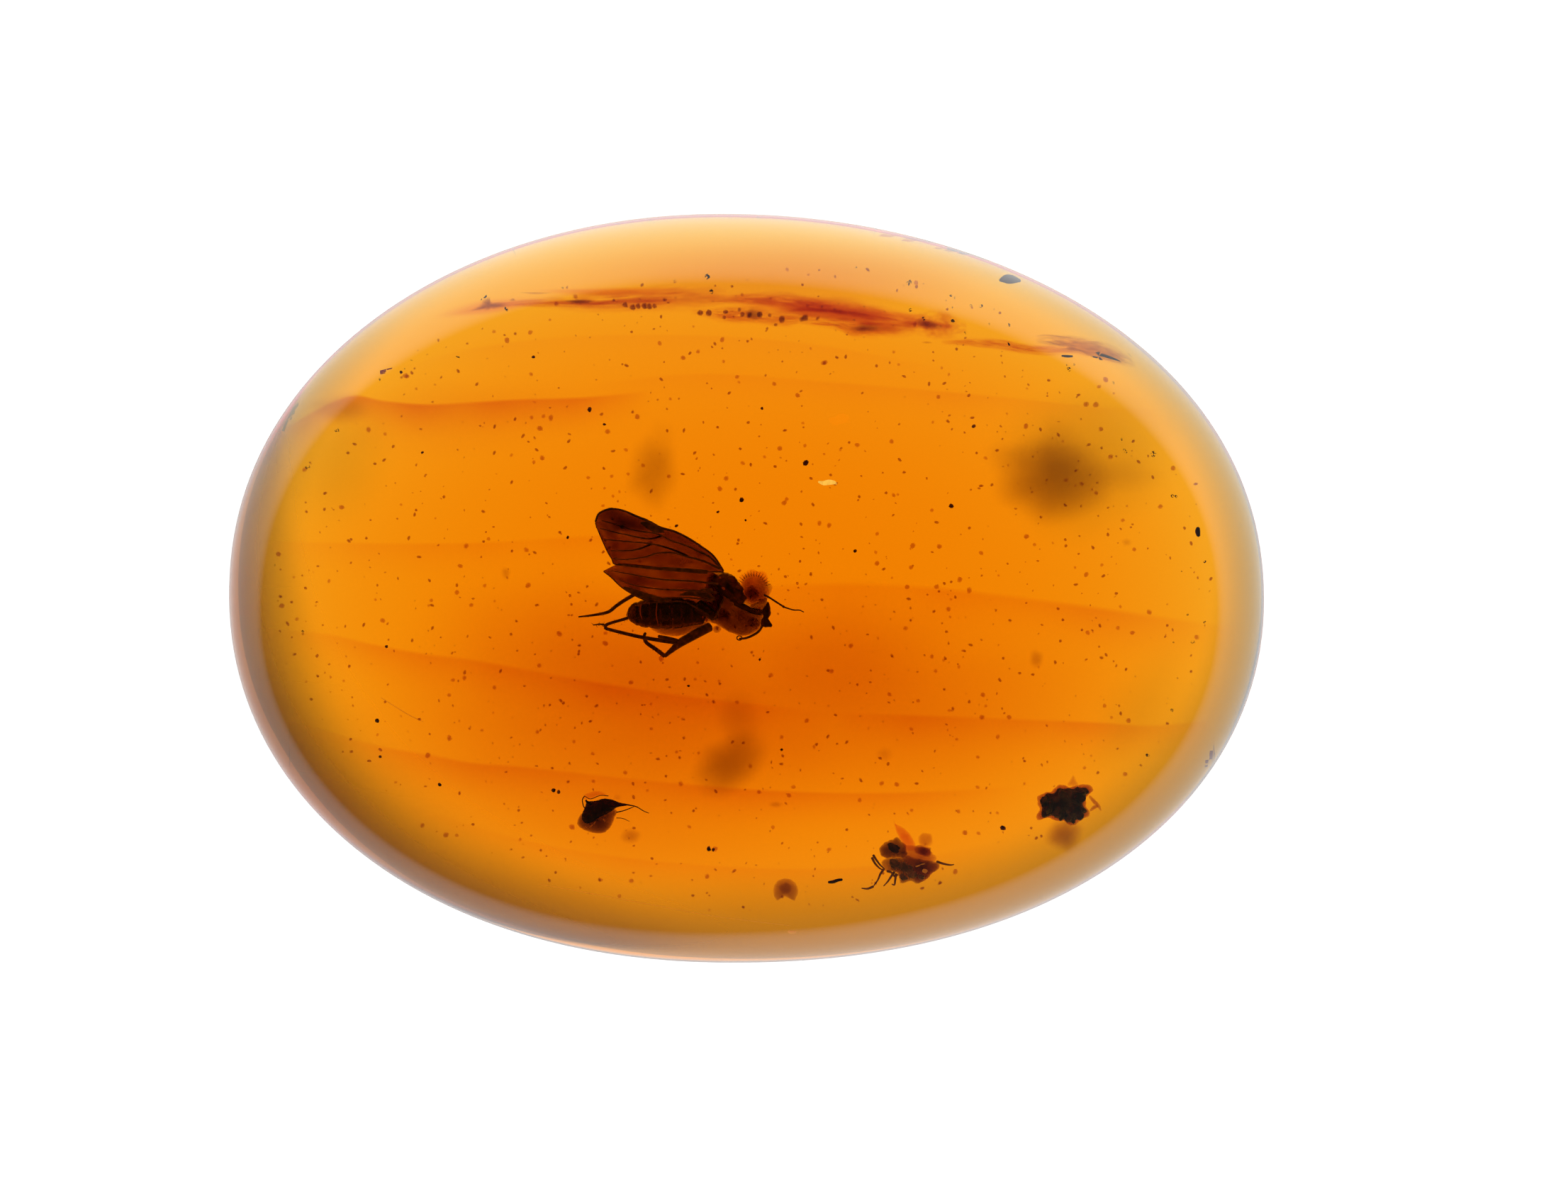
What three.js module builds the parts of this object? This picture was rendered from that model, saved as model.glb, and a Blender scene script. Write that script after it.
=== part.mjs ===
// A polished oval of amber that holds an insect: one solid stone, in millimetres.
// The frame stands at the middle of the stone's box on the table it rests on:
// +X along its length, +Y across it towards the thin edge, +Z up.
//
// The stone is one skin, drawn from the middle of its flat foot out to the foot's rim,
// up an undercut flank to the girdle, and over a dome to the crown.
import * as THREE from 'three';
import { ParametricGeometry } from 'three/addons/geometries/ParametricGeometry.js';

// Driving dimensions
const HALF_LENGTH = 12.0;
const HALF_WIDTH = 8.69;
const HEIGHT = 8.0;
const OUTLINE_FULLNESS = 2.1; // 2 is a true ellipse, more is squarer

// How far the girdle stands off the table, and how far the foot is drawn in below it.
// Both are largest on the deep side and fade to almost nothing at the thin edge, +Y.
const GIRDLE_HEIGHT = 3.4;
const FOOT_INSET = 0.32; // as a share of the outline's radius
const THIN_EDGE_FADE = 1.9; // how quickly the flank fades towards the thin edge
const THIN_EDGE_REMAINS = 0.12; // share of the flank that is left there
const DEEP_SIDE = THREE.MathUtils.degToRad(215); // bearing of the deepest flank
const DEEP_SIDE_GAIN = 0.25;

const FLANK_FULLNESS = 1.8; // 1 is a straight bevel, 2 a quarter round
const DOME_FULLNESS = 2.6; // across the stone
const CROWN_X = 0.3; // the highest point lies off centre
const CROWN_Y = -1.2;

// Facets
const AROUND = 96;
const FOOT_STEPS = 1;
const FLANK_STEPS = 9;
const DOME_STEPS = 20;
const STEPS = FOOT_STEPS + FLANK_STEPS + DOME_STEPS;

// Radius of the outline at a bearing: a full oval with the slight lopsidedness of hand work.
function outlineRadius(bearing) {
  const across = Math.abs(Math.cos(bearing)) / HALF_LENGTH;
  const along = Math.abs(Math.sin(bearing)) / HALF_WIDTH;
  const oval = (across ** OUTLINE_FULLNESS + along ** OUTLINE_FULLNESS) ** (-1 / OUTLINE_FULLNESS);
  const lopsided = -0.005 * Math.sin(2 * bearing)
    + 0.005 * Math.cos(3 * bearing) - 0.006 * Math.sin(3 * bearing)
    - 0.004 * Math.cos(bearing) - 0.006 * Math.sin(bearing);
  return oval * (1 + lopsided);
}

// Share of the full flank at a bearing.
function flankShare(bearing) {
  const towardsThinEdge = ((1 + Math.sin(bearing)) / 2) ** THIN_EDGE_FADE;
  const fade = 1 - (1 - THIN_EDGE_REMAINS) * towardsThinEdge;
  return fade * (1 + DEEP_SIDE_GAIN * Math.cos(bearing - DEEP_SIDE));
}

// Reach (share of the outline's radius) and height of the skin, step by step from the
// middle of the foot to the crown.
function section(bearing, step) {
  const girdle = GIRDLE_HEIGHT * flankShare(bearing);
  const foot = 1 - FOOT_INSET * flankShare(bearing);
  if (step <= FOOT_STEPS) {
    return { reach: foot * step / FOOT_STEPS, height: 0, onDome: false };
  }
  if (step <= FOOT_STEPS + FLANK_STEPS) {
    const turn = (step - FOOT_STEPS) / FLANK_STEPS * Math.PI / 2;
    const out = Math.sin(turn) ** (2 / FLANK_FULLNESS);
    const up = 1 - Math.abs(Math.cos(turn)) ** (2 / FLANK_FULLNESS);
    return { reach: foot + (1 - foot) * out, height: girdle * up, onDome: false };
  }
  const turn = (step - FOOT_STEPS - FLANK_STEPS) / DOME_STEPS * Math.PI / 2;
  const reach = Math.abs(Math.cos(turn)) ** (2 / DOME_FULLNESS);
  return { reach, height: girdle + (HEIGHT - girdle) * Math.sin(turn), onDome: true };
}

// One point of the skin. On the dome the rings slide over from the outline's middle to
// the crown as they close.
function skinPoint(u, v, target) {
  const bearing = 2 * Math.PI * (Math.round(u * AROUND) % AROUND) / AROUND;
  const { reach, height, onDome } = section(bearing, Math.round(v * STEPS));
  const radius = reach * outlineRadius(bearing);
  const slide = onDome ? 1 - reach : 0;
  target.set(
    CROWN_X * slide + radius * Math.cos(bearing),
    CROWN_Y * slide + radius * Math.sin(bearing),
    height,
  );
}

function amberMaterial() {
  return new THREE.MeshStandardMaterial({
    color: new THREE.Color(0.84, 0.22, 0.02),
    roughness: 0.06,
    metalness: 0,
    transparent: true,
    opacity: 0.6,
  });
}

function amberStone() {
  const mesh = new THREE.Mesh(new ParametricGeometry(skinPoint, AROUND, STEPS), amberMaterial());
  mesh.name = 'amber_stone';
  return mesh;
}

const specimen = new THREE.Group();
specimen.name = 'insect_in_amber';
specimen.add(amberStone());

export default specimen;
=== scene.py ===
"""Looks of a polished oval of amber with a small winged bug sealed in it, lying on a light table.

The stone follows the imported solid. Everything sealed in it is drawn in millimetres as it is
seen from straight above, with a true height, and is then carried along the bent line of
sight to where it really lies, so that the curved dome shows it in its right place.
"""

from __future__ import annotations

import logging
import math
import random
from dataclasses import dataclass, field
from enum import Enum
from typing import Callable, Sequence, Union

import bpy
import numpy as np
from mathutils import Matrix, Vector, noise


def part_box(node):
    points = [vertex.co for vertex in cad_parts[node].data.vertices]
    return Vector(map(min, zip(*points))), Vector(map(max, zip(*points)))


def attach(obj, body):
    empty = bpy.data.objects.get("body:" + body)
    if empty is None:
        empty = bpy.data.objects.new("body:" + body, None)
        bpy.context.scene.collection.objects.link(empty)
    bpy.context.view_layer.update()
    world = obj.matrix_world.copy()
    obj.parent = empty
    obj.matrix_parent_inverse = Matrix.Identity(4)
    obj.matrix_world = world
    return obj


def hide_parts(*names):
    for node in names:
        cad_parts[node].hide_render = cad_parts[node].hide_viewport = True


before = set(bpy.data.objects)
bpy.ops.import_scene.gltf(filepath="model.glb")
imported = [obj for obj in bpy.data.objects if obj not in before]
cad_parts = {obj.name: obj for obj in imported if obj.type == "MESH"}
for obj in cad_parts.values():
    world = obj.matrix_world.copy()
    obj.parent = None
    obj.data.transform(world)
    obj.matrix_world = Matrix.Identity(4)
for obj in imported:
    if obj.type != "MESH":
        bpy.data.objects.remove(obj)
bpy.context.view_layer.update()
NODE = "amber_stone"
BODY = "root"
MM = 0.001
REPORT = logging.getLogger("insect_in_amber")

Flat = tuple[float, float]
Colour = tuple[float, float, float]
Path = Sequence[Sequence[float]]
Value = Union["Wire", float]

SUBSTEPS = 12  # steps between two knots of a curve before it is evened out
SEED_SHIFT = 17.3  # how far apart the stretches of noise lie that two seeds read
THINNEST = 0.002  # the least thickness of a panel, in millimetres
GROOVE_WIDTH = 0.02  # of a groove round a tube, as a share of its length
TIP_REACH = 0.5  # how far a tube's ends stand out, as a share of its radius
JUST_INSIDE = 0.9999  # keeps a place from falling on the outline itself
BOUNCES = 48  # how many skins a ray of light may cross


# ---------------------------------------------------------------- curves and noise


def curve(knots: Path, count: int, closed: bool = False) -> np.ndarray:
    """Draws a smooth curve through points, with even steps along its length.

    Args:
        knots: the points, each with as many numbers as wanted; all are smoothed alike.
        count: how many points come back.
        closed: whether the curve runs round to its start.

    Returns:
        An array of count points.
    """
    points = np.asarray(knots, float)
    if closed:
        padded = np.vstack([points[-1:], points, points[:2]])
    else:
        padded = np.vstack([2 * points[:1] - points[1:2], points, 2 * points[-1:] - points[-2:-1]])
    step = np.linspace(0, 1, SUBSTEPS, endpoint=False)[:, None]
    spans = []
    for index in range(len(padded) - 3):
        before, start, end, after = padded[index:index + 4]
        spans.append(start + 0.5 * step * (end - before + step * (
            2 * before - 5 * start + 4 * end - after + step * (3 * (start - end) + after - before))))
    fine = np.vstack(spans + [padded[-2:-1]])
    steps = np.linalg.norm(np.diff(fine[:, :3], axis=0), axis=1)
    length = np.concatenate([[0.0], np.cumsum(steps)])
    wanted = np.linspace(0, length[-1], count, endpoint=not closed)
    return np.stack([np.interp(wanted, length, column) for column in fine.T], axis=1)


def along(points: Path, heights: Sequence[float], radii: Sequence[float]) -> np.ndarray:
    """Gives seen points a height and a radius, each spread evenly over the run.

    Args:
        points: places as seen from above.
        heights: two or more heights, from the first point to the last.
        radii: two or more radii, from the first point to the last.

    Returns:
        An array of (x, y, height, radius).
    """
    spread = np.linspace(0, 1, len(points))
    columns = [np.interp(spread, np.linspace(0, 1, len(row)), row) for row in (heights, radii)]
    return np.column_stack([np.asarray(points, float), *columns])


def ruffle(points: np.ndarray, grain: float, seed: float = 0.0) -> np.ndarray:
    """Reads smooth noise, about -1 to 1, at points.

    Args:
        points: an array of places with three numbers each.
        grain: the size of the noise's lumps, in the points' own units.
        seed: shifts the noise to another stretch.

    Returns:
        One value for each point.
    """
    places = points / grain + seed * SEED_SHIFT
    return np.array([noise.noise(Vector(place)) for place in places])


# ---------------------------------------------------------------- the stone's form and its optics


@dataclass(frozen=True)
class StoneForm:
    """Outside of the stone in millimetres: flat foot, undercut flank, girdle and dome."""

    half_length: float
    half_width: float
    height: float
    outline_fullness: float = 2.1
    girdle_height: float = 3.4
    foot_inset: float = 0.32
    thin_edge_fade: float = 1.9
    thin_edge_remains: float = 0.12
    deep_side: float = math.radians(215)
    deep_side_gain: float = 0.25
    flank_fullness: float = 1.8
    dome_fullness: float = 2.6
    crown: Flat = (0.3, -1.2)

    @classmethod
    def from_node(cls, node: str) -> StoneForm:
        """Takes the stone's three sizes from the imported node's box.

        Args:
            node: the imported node's name.

        Returns:
            The form.
        """
        low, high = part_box(node)
        size = (high - low) / MM
        return cls(half_length=size.x / 2, half_width=size.y / 2, height=size.z)

    def outline_radius(self, bearing: np.ndarray) -> np.ndarray:
        """Works out the outline: a full, slightly lopsided oval.

        Args:
            bearing: bearings in radians.

        Returns:
            The outline's radius at each bearing.
        """
        across = np.abs(np.cos(bearing)) / self.half_length
        up = np.abs(np.sin(bearing)) / self.half_width
        oval = (across**self.outline_fullness + up**self.outline_fullness) ** (-1 / self.outline_fullness)
        lopsided = (
            -0.005 * np.sin(2 * bearing) + 0.005 * np.cos(3 * bearing) - 0.006 * np.sin(3 * bearing)
            - 0.004 * np.cos(bearing) - 0.006 * np.sin(bearing)
        )
        return oval * (1 + lopsided)

    def flank_share(self, bearing: np.ndarray) -> np.ndarray:
        """Works out how full the flank is: deep at one side, thin at +Y.

        Args:
            bearing: bearings in radians.

        Returns:
            The share of the full flank at each bearing.
        """
        towards_thin_edge = ((1 + np.sin(bearing)) / 2) ** self.thin_edge_fade
        fade = 1 - (1 - self.thin_edge_remains) * towards_thin_edge
        return fade * (1 + self.deep_side_gain * np.cos(bearing - self.deep_side))

    def foot_ring(self, bearing: np.ndarray, share: float) -> np.ndarray:
        """Gives a ring of the foot, share of the way from its middle to its rim."""
        reach = (1 - self.foot_inset * self.flank_share(bearing)) * share
        return self._ring(bearing, reach, np.zeros_like(bearing))

    def flank_ring(self, bearing: np.ndarray, share: float) -> np.ndarray:
        """Draws a ring of the flank.

        Args:
            bearing: bearings in radians.
            share: how far it is round the quarter turn from the foot to the girdle.

        Returns:
            The ring's points.
        """
        turn = share * math.pi / 2
        share_here = self.flank_share(bearing)
        foot = 1 - self.foot_inset * share_here
        out = math.sin(turn) ** (2 / self.flank_fullness)
        rise = 1 - abs(math.cos(turn)) ** (2 / self.flank_fullness)
        return self._ring(bearing, foot + (1 - foot) * out, self.girdle_height * share_here * rise)

    def dome_ring(self, bearing: np.ndarray, share: float) -> np.ndarray:
        """Draws a ring of the dome.

        Args:
            bearing: bearings in radians.
            share: how far it is round the quarter turn from the girdle to the crown.

        Returns:
            The ring's points.
        """
        turn = share * math.pi / 2
        reach = np.full_like(bearing, abs(math.cos(turn)) ** (2 / self.dome_fullness))
        girdle = self.girdle_height * self.flank_share(bearing)
        ring = self._ring(bearing, reach, girdle + (self.height - girdle) * math.sin(turn))
        ring[:, :2] += (1 - reach)[:, None] * np.array(self.crown)
        return ring

    def _ring(self, bearing: np.ndarray, reach: np.ndarray, height: np.ndarray) -> np.ndarray:
        """Gives a ring's points; reach is its size as a share of the outline."""
        radius = reach * self.outline_radius(bearing)
        return np.column_stack([radius * np.cos(bearing), radius * np.sin(bearing), height])

    def dome_height(self, x: np.ndarray, y: np.ndarray) -> np.ndarray:
        """Measures the dome.

        Args:
            x: places along X.
            y: places along Y.

        Returns:
            The dome's height over each place.
        """
        reach = np.hypot(x, y) / self.half_length
        for _ in range(12):
            dx = x - self.crown[0] * (1 - reach)
            dy = y - self.crown[1] * (1 - reach)
            bearing = np.arctan2(dy, dx)
            reach = np.clip(np.hypot(dx, dy) / self.outline_radius(bearing), 0, JUST_INSIDE)
        girdle = self.girdle_height * self.flank_share(bearing)
        return girdle + (self.height - girdle) * np.sqrt(1 - reach**self.dome_fullness)

    def under_height(self, x: np.ndarray, y: np.ndarray) -> np.ndarray:
        """Measures the underside.

        Args:
            x: places along X.
            y: places along Y.

        Returns:
            The height of the foot or flank under each place.
        """
        bearing = np.arctan2(y, x)
        share = self.flank_share(bearing)
        foot = 1 - self.foot_inset * share
        reach = np.clip(np.hypot(x, y) / self.outline_radius(bearing), 0, JUST_INSIDE)
        out = np.clip((reach - foot) / (1 - foot), 0, 1)
        return self.girdle_height * share * (1 - (1 - out**self.flank_fullness) ** (1 / self.flank_fullness))


@dataclass(frozen=True)
class SightLine:
    """Carries places as they are seen from above to where they lie in the amber."""

    form: StoneForm
    eye: tuple[float, float, float]
    seen_at: float  # height of the plane on which seen places are measured
    bend: float
    margin: float = 0.15  # amber left over and under everything sealed in
    rim_margin: float = 0.97  # the furthest out that anything lies, as a share of the outline

    def sealed(self, points: np.ndarray) -> np.ndarray:
        """Follows the bent line of sight of each point down to its height.

        Args:
            points: an array of (seen x, seen y, true height) in millimetres.

        Returns:
            An array of true places in millimetres, inside the stone.
        """
        eye = np.array(self.eye)
        target = np.column_stack([points[:, :2], np.full(len(points), self.seen_at)])
        ray = target - eye
        ray /= np.linalg.norm(ray, axis=1)[:, None]
        top = np.full(len(points), self.form.height)
        for _ in range(8):
            meet = eye + ray * ((top - eye[2]) / ray[:, 2])[:, None]
            top = self.form.dome_height(meet[:, 0], meet[:, 1])
        normal = self._dome_normal(meet)
        facing = -(ray * normal).sum(axis=1)
        ratio = 1 / self.bend
        turned = ratio * facing - np.sqrt(1 - ratio**2 * (1 - facing**2))
        bent = ratio * ray + turned[:, None] * normal
        height = np.minimum(points[:, 2], top - self.margin)
        place = meet + bent * ((height - top) / bent[:, 2])[:, None]
        bearing = np.arctan2(place[:, 1], place[:, 0])
        reach = np.hypot(place[:, 0], place[:, 1]) / self.form.outline_radius(bearing)
        place[:, :2] *= np.minimum(1, self.rim_margin / np.maximum(reach, 1e-6))[:, None]
        under = self.form.under_height(place[:, 0], place[:, 1]) + self.margin
        over = self.form.dome_height(place[:, 0], place[:, 1]) - self.margin
        place[:, 2] = np.where(under < over, np.clip(place[:, 2], under, over), (under + over) / 2)
        return place

    def _dome_normal(self, meet: np.ndarray) -> np.ndarray:
        """Measures how the dome leans, from its height on each side.

        Args:
            meet: places on the dome.

        Returns:
            The dome's outward unit normal at each.
        """
        step = 0.02
        x, y = meet[:, 0], meet[:, 1]
        slope_x = (self.form.dome_height(x + step, y) - self.form.dome_height(x - step, y)) / (2 * step)
        slope_y = (self.form.dome_height(x, y + step) - self.form.dome_height(x, y - step)) / (2 * step)
        normal = np.column_stack([-slope_x, -slope_y, np.ones(len(x))])
        return normal / np.linalg.norm(normal, axis=1)[:, None]


# ---------------------------------------------------------------- shader graphs


class Wire:
    """A shader socket that takes part in arithmetic: each operator adds its Math node."""

    def __init__(self, graph: Graph, socket: bpy.types.NodeSocket) -> None:
        """Keeps the socket and the graph that it belongs to."""
        self.graph = graph
        self.socket = socket

    def _math(self, operation: str, first: Value, second: Value) -> Wire:
        """Adds a Math node."""
        return self.graph.node("ShaderNodeMath", {"operation": operation}, {0: first, 1: second})

    def __add__(self, other: Value) -> Wire:
        """Adds."""
        return self._math("ADD", self, other)

    def __radd__(self, other: Value) -> Wire:
        """Adds, with the number on the left."""
        return self._math("ADD", other, self)

    def __sub__(self, other: Value) -> Wire:
        """Subtracts."""
        return self._math("SUBTRACT", self, other)

    def __rsub__(self, other: Value) -> Wire:
        """Subtracts from a number."""
        return self._math("SUBTRACT", other, self)

    def __mul__(self, other: Value) -> Wire:
        """Multiplies."""
        return self._math("MULTIPLY", self, other)

    def __rmul__(self, other: Value) -> Wire:
        """Multiplies, with the number on the left."""
        return self._math("MULTIPLY", other, self)

    def __pow__(self, power: Value) -> Wire:
        """Raises to a power."""
        return self._math("POWER", self, power)


class Graph:
    """A material's node graph."""

    def __init__(self, name: str) -> None:
        """Starts an empty material.

        Args:
            name: the material's name.
        """
        self.material = bpy.data.materials.new(name)
        self.material.use_nodes = True
        self.tree = self.material.node_tree
        self.tree.nodes.clear()
        self.output = self.tree.nodes.new("ShaderNodeOutputMaterial")

    def node(self, kind: str, settings: dict | None = None, values: dict | None = None,
             output: int | str = 0) -> Wire:
        """Adds a node.

        Args:
            kind: the node's type.
            settings: its properties, set first; stops holds a ramp's (place, colour) pairs.
            values: its sockets' values or links, by name or number.
            output: the output that comes back.

        Returns:
            The output as a wire.
        """
        made = self.tree.nodes.new(kind)
        for key, value in (settings or {}).items():
            if key == "stops":
                self._set_stops(made.color_ramp, value)
            else:
                setattr(made, key, value)
        for key, value in (values or {}).items():
            socket = made.inputs[key]
            if isinstance(value, Wire):
                self.tree.links.new(value.socket, socket)
            elif socket.type == "RGBA" and len(value) == 3:
                socket.default_value = (*value, 1.0)
            else:
                socket.default_value = value
        return Wire(self, made.outputs[output])

    @staticmethod
    def _set_stops(ramp: bpy.types.ColorRamp, stops: Sequence[tuple[float, Colour]]) -> None:
        """Sets a colour ramp's stops.

        Args:
            ramp: the ramp.
            stops: (place, colour) pairs, in order.
        """
        while len(ramp.elements) < len(stops):
            ramp.elements.new(1.0)
        for element, (place, colour) in zip(ramp.elements, stops):
            element.position = place
            element.color = (*colour, 1.0)

    def noise(self, grain: float, detail: float = 3.0, stretch: Colour = (1.0, 1.0, 1.0)) -> Wire:
        """Adds noise over the piece.

        Args:
            grain: the size of its lumps in millimetres.
            detail: how many finer layers it has.
            stretch: how much longer the lumps are along each axis.

        Returns:
            The noise's value, about 0.3 to 0.7.
        """
        place = self.node("ShaderNodeTexCoord", output="Object")
        scale = tuple(1 / (grain * MM * part) for part in stretch)
        mapped = self.node("ShaderNodeMapping", values={"Vector": place, "Scale": scale})
        return self.node("ShaderNodeTexNoise", values={"Vector": mapped, "Scale": 1.0, "Detail": detail})

    def paint(self, name: str = "paint") -> Wire:
        """Reads a value painted on the mesh."""
        return self.node("ShaderNodeAttribute", {"attribute_name": name}, output="Fac")

    def ramp(self, factor: Wire, stops: Sequence[tuple[float, Colour]]) -> Wire:
        """Turns a value into a colour."""
        return self.node("ShaderNodeValToRGB", {"stops": stops}, {"Fac": factor})

    def mix(self, factor: Value, first: Wire | Colour, second: Wire | Colour) -> Wire:
        """Mixes two colours."""
        return self.node("ShaderNodeMix", {"data_type": "RGBA"}, {0: factor, 6: first, 7: second}, output=2)

    def bump(self, height: Wire, depth: float) -> Wire:
        """Turns a height into a normal; depth is in millimetres."""
        return self.node("ShaderNodeBump", values={"Height": height, "Distance": depth * MM})

    def finish(self, values: dict, volume: Wire | None = None) -> bpy.types.Material:
        """Closes the graph with one Principled surface.

        Args:
            values: the surface's socket values or links.
            volume: what fills the inside, if anything does.

        Returns:
            The material.
        """
        surface = self.node("ShaderNodeBsdfPrincipled", values=values)
        self.tree.links.new(surface.socket, self.output.inputs["Surface"])
        if volume is not None:
            self.tree.links.new(volume.socket, self.output.inputs["Volume"])
        return self.material

    def absorption(self, lost: Colour) -> Wire:
        """Adds plain absorption.

        Args:
            lost: the share of red, green and blue light lost in a metre, as exponents.

        Returns:
            The volume.
        """
        density = max(1000.0, max(lost))
        colour = tuple(1 - part / density for part in lost)
        return self.node("ShaderNodeVolumeAbsorption", values={"Density": density, "Color": colour})


# ---------------------------------------------------------------- finishes


@dataclass(frozen=True)
class AmberFinish:
    """Clear orange amber: a polished dome and foot, and a satin flank."""

    bend: float = 1.54
    lost: Colour = (17.0, 195.0, 1050.0)
    satin: float = 0.5

    def dress(self) -> bpy.types.Material:
        """Makes the material: clear, coloured by its depth, rubbed where painted.

        Returns:
            The material.
        """
        graph = Graph("polished_amber")
        rub = graph.noise(0.9, 2.0, (2.0, 1.0, 1.0))
        roughness = graph.paint("satin") * (rub * 0.2 + 0.9) * self.satin
        return graph.finish(
            {"Base Color": (1.0, 1.0, 1.0), "Transmission Weight": 1.0, "IOR": self.bend,
             "Roughness": roughness},
            graph.absorption(self.lost))


@dataclass(frozen=True)
class StainAndShadeFinish:
    """Something clear but coloured inside the amber, which it meets without a glint; it also makes the
    painted edge shade.
    """

    name: str
    lost: Colour
    bend: float = 1.0

    def dress(self) -> bpy.types.Material:
        """Makes the material."""
        graph = Graph(self.name)
        return graph.finish(
            {"Base Color": (1.0, 1.0, 1.0), "Transmission Weight": 1.0, "IOR": self.bend,
             "Roughness": 0.0, "Specular IOR Level": 0.5},
            graph.absorption(self.lost))


@dataclass(frozen=True)
class ShellFinish:
    """Opaque insect shell or grit: mottled between two colours, finely pitted, with a painted glow."""

    name: str
    dark: Colour
    light: Colour
    grain: float = 0.12
    pits: float = 0.01
    roughness: float = 0.45
    coat: float = 0.0
    stretch: Colour = (1.0, 1.0, 1.0)
    painted_glow: float = 0.0  # painted glow: emission standing in for the table's light coming through from behind

    def dress(self) -> bpy.types.Material:
        """Makes the material: the painted value lightens, the noise mottles.

        Returns:
            The material.
        """
        graph = Graph(self.name)
        mottle = graph.noise(self.grain, 4.0, self.stretch)
        fine = graph.noise(self.grain * 0.3, 3.0, self.stretch)
        middle = tuple(0.5 * (dark + light) for dark, light in zip(self.dark, self.light))
        stops = ((0.3, self.dark), (0.62, middle), (1.0, self.light))
        shade = graph.ramp(mottle + graph.paint() - 0.1, stops)
        # The emission in the mottled colour is a painted glow, not a lamp: it stands in for light coming
        # through the shell.
        return graph.finish(
            {"Base Color": shade, "Roughness": self.roughness + (fine - 0.5) * 0.3,
             "Coat Weight": self.coat, "Normal": graph.bump(fine, self.pits),
             "Emission Color": shade, "Emission Strength": self.painted_glow})


@dataclass(frozen=True)
class PaintedGlintFinish:
    """A pale flake or crack with a painted glint: it glows faintly by emission, though it is no lamp."""

    name: str
    colour: Colour
    glint_glow: float = 0.3

    def dress(self) -> bpy.types.Material:
        """Makes the material.

        Returns:
            The material.
        """
        graph = Graph(self.name)
        spots = graph.noise(0.08, 2.0)
        colour = graph.mix(spots, tuple(0.6 * part for part in self.colour), self.colour)
        # The emission is a painted glint that stands in for caught light.
        return graph.finish({"Base Color": colour, "Roughness": 0.3, "Emission Color": colour,
                             "Emission Strength": self.glint_glow})


# ---------------------------------------------------------------- meshes


class Profile(Enum):
    """How a pebble's thickness falls off towards its outline."""

    ROUND = "round"
    FEATHERED = "feathered"
    SLAB = "slab"


def _faces_inwards(rings: np.ndarray) -> bool:
    """Tells whether a skin over these rings would have its faces pointing in.

    Args:
        rings: an array of (rings, points in a ring, 3).

    Returns:
        True if they would point in.
    """
    corner = rings - rings.mean(axis=(0, 1))
    beside = np.roll(corner, -1, axis=1)
    sides = np.cross(corner[:-1], beside[:-1]) + np.cross(beside[1:], corner[1:])
    sides += np.cross(beside[:-1], beside[1:]) + np.cross(corner[1:], corner[:-1])
    return float((sides * (corner[:-1] + corner[1:])).sum()) < 0


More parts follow.
